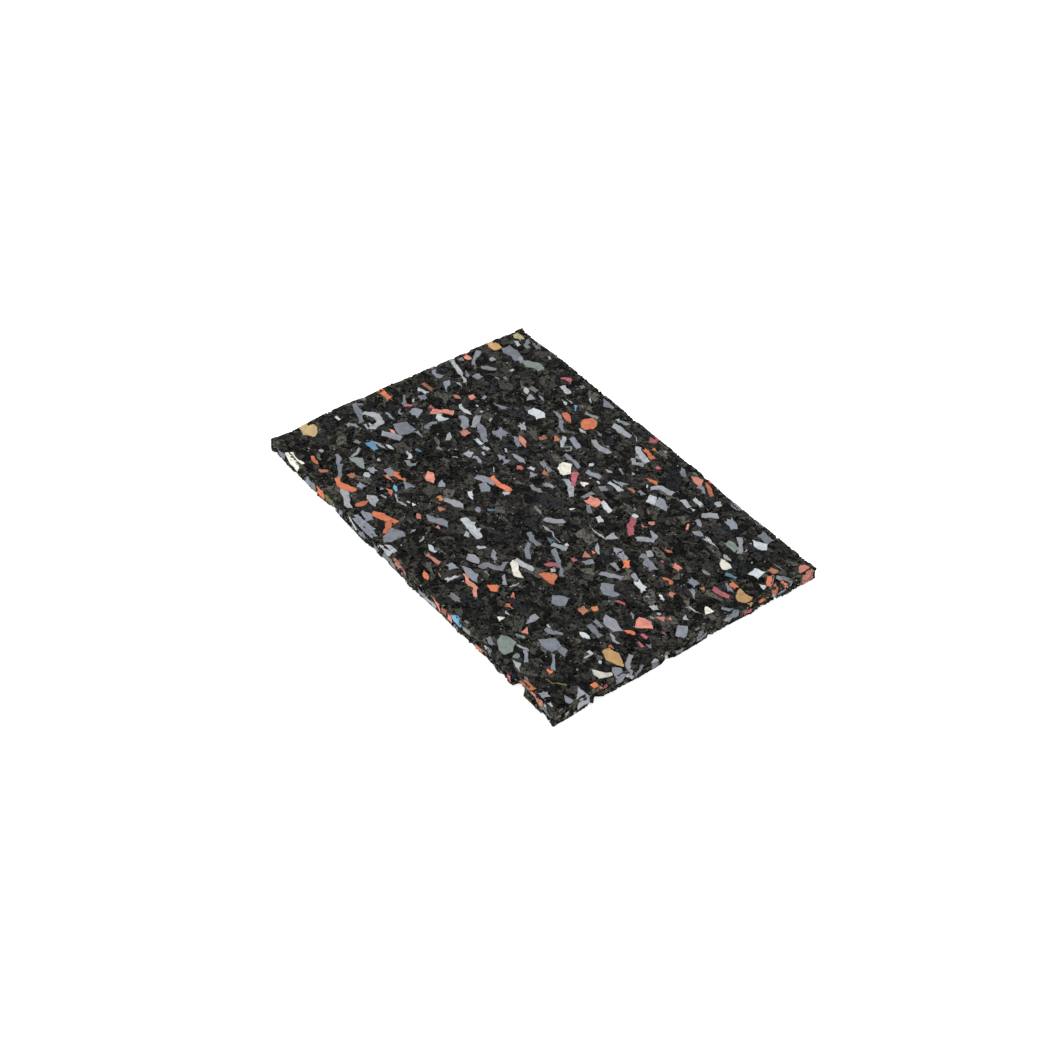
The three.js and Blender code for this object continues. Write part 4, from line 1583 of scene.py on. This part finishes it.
blackRubber = crumbRubber("crumb_rubber", (2.05, 2.02, 1.93))
paintedLightSideRubber = crumbRubber("crumb_rubber_painted_light", (3.5, 3.4, 2.85))  # a lighter copy of the crumb rubber for the sides and edge crumbs: painted light
flakePieces = [makeFlakes(name, tints) for name, tints in flakeFamilies.items()]
print("flakes set in")


# Closing the crumb sheets under the surface

def closeSheet(obj, scale, drop):
    alone(obj)
    mesh = obj.data
    seen = len(mesh.vertices)
    goTo("EDIT")
    bpy.context.tool_settings.mesh_select_mode = (False, True, False)
    bpy.ops.mesh.select_all(action="DESELECT")
    bpy.ops.mesh.select_non_manifold(extend=False, use_wire=False, use_boundary=True, use_multi_face=False,
                                     use_non_contiguous=False, use_verts=False)
    bpy.ops.mesh.extrude_edges_move(TRANSFORM_OT_translate={"value": (0, 0, drop * mm)})
    bpy.ops.transform.resize(value=scale, center_override=(0, 0, 0))
    if drop:
        bpy.ops.mesh.edge_face_add()
    else:
        bpy.ops.mesh.bridge_edge_loops()
    goTo("OBJECT")
    hidden = zoneNames.index("hidden")
    zones = faceValues(mesh, "zone")
    for face in mesh.polygons:
        if any(i >= seen for i in face.vertices):
            zones[face.index] = hidden
    setFaceValues(mesh, "zone", zones)


smoothAngle = 32


def finishShape(obj):
    # keeps the piece inside the solid's box, and drops points that no crumb uses
    alone(obj)
    for vertex in obj.data.vertices:
        for axis in range(3):
            vertex.co[axis] = min(max(vertex.co[axis], cadBox[0][axis]), cadBox[1][axis])
    goTo("EDIT")
    bpy.ops.mesh.select_all(action="SELECT")
    bpy.ops.mesh.delete_loose()
    goTo("OBJECT")
    bpy.ops.object.shade_smooth_by_angle(angle=math.radians(smoothAngle))


closing = {"in": 1.3, "deep": 1.4}
shrink = ((halfLength - closing["in"]) / halfLength, (halfWidth - closing["in"]) / halfWidth, 1)
closeSheet(crumbTop, shrink, -closing["deep"])
closeSheet(crumbUnder, shrink, closing["deep"])
closeSheet(crumbSides, shrink, 0)
for obj in (crumbTop, crumbUnder):
    obj.data.materials.append(blackRubber)
# painted light: the sides and the edge crumbs get the lighter copy of the crumb rubber
for obj in (crumbSides, edgeCrumbs):
    obj.data.materials.append(paintedLightSideRubber)
pieces = [crumbTop, crumbUnder, crumbSides, edgeCrumbs] + flakePieces
for obj in pieces:
    finishShape(obj)
print("sheets closed")


# A flat map for baking: each face of the mat has its own field

bakeMap = {
    "margin": 4,              # added to the mat's length
    "underAt": 0.36,
    "sidesAt": 0.73, "sideTall": 0.045,
    "hiddenAt": (0.02, 0.92), "hiddenSize": (0.14, 0.09),
    "lean": 0.3,              # how much of its depth a face leans over by, so that nothing overlaps
}


def layBakeMap(obj):
    # the top and the underside share the map's width where a piece has both
    mesh = obj.data
    layer = mesh.uv_layers.new(name="OFBake")
    zones = faceValues(mesh, "zone")
    span = 2 * halfLength + bakeMap["margin"]
    half = 0.5 if {0, 1} <= set(zones) else 1
    lean = bakeMap["lean"]
    for face in mesh.polygons:
        zone = zones[face.index]
        for k in face.loop_indices:
            p = mesh.vertices[mesh.loops[k].vertex_index].co / mm
            if zone < 2:
                u = (p.x + span / 2) / span * half
                v = (p.y + halfWidth + 1) / span * half + (0 if half == 1 else bakeMap["underAt"] * zone)
            elif zone < 6:
                side = sides[zone - 2]
                t = side["along"].dot(p.to_2d())
                depth = side["inward"].dot(p.to_2d()) + (halfWidth if zone in (2, 4) else halfLength)
                u = (t + span / 2) / span
                v = bakeMap["sidesAt"] + bakeMap["sideTall"] * (zone - 2) + (p.z + lean * depth) / span
            else:
                u, v = bakeMap["hiddenAt"]
                u += (p.x + lean * p.z + span / 2) / span * bakeMap["hiddenSize"][0]
                v += (p.y + lean * p.z + halfWidth) / span * bakeMap["hiddenSize"][1]
            layer.data[k].uv = (u, v)


def layFaceByFace(obj):
    # for the loose crumbs, a square of the map for each face
    mesh = obj.data
    layer = mesh.uv_layers.new(name="OFBake")
    across = math.ceil(math.sqrt(len(mesh.polygons)))
    for face in mesh.polygons:
        column, row = face.index % across, face.index // across
        for k, (u, v) in zip(face.loop_indices, ((0.1, 0.1), (0.9, 0.1), (0.9, 0.9), (0.1, 0.9))):
            layer.data[k].uv = ((column + u) / across, (row + v) / across)


for obj in pieces:
    if obj is edgeCrumbs:
        layFaceByFace(obj)
    else:
        layBakeMap(obj)
    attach(obj, "root")
    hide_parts("rubber_mat")


# Floor and light

roomLook = {  # in metres
    "floorSize": 6, "floorDrop": 0.00002,
    "floorColour": (0.9, 0.9, 0.9, 1), "floorRoughness": 0.9, "floorGlow": 0.75,
    "skyStrength": 0.36,
    "overhead": {"place": (-0.25, 0.35, 0.9), "size": 1.0, "power": 9},
    "fill": {"place": (-0.5, -0.9, 0.4), "size": 0.8, "power": 4},
}


def makeFloor():
    bpy.ops.mesh.primitive_plane_add(size=roomLook["floorSize"], location=(0, 0, -roomLook["floorDrop"]))
    floor = bpy.context.object
    floor.name = "floor"
    material, _, shader = newMaterial("pale_floor")
    shader.inputs["Base Color"].default_value = roomLook["floorColour"]
    shader.inputs["Roughness"].default_value = roomLook["floorRoughness"]
    shader.inputs["Specular IOR Level"].default_value = 0
    shader.inputs["Emission Color"].default_value = (1, 1, 1, 1)
    shader.inputs["Emission Strength"].default_value = roomLook["floorGlow"]
    floor.data.materials.append(material)


def addSoftLight(name, setup):
    bpy.ops.object.light_add(type="AREA", location=setup["place"])
    light = bpy.context.object
    light.name = name
    light.data.size = setup["size"]
    light.data.energy = setup["power"]
    light.rotation_euler = (-Vector(setup["place"])).to_track_quat("-Z", "Y").to_euler()


makeFloor()
addSoftLight("overhead_light", roomLook["overhead"])
addSoftLight("fill_light", roomLook["fill"])
world = bpy.data.worlds.new("studio")
world.use_nodes = True
sky = world.node_tree.nodes["Background"]
sky.inputs["Color"].default_value = (1, 1, 1, 1)
sky.inputs["Strength"].default_value = roomLook["skyStrength"]
bpy.context.scene.world = world
bpy.context.scene.view_settings.view_transform = "Standard"
print("floor and light set")

for obj in pieces:
    print(obj.name, sum(len(p.vertices) - 2 for p in obj.data.polygons), "triangles")
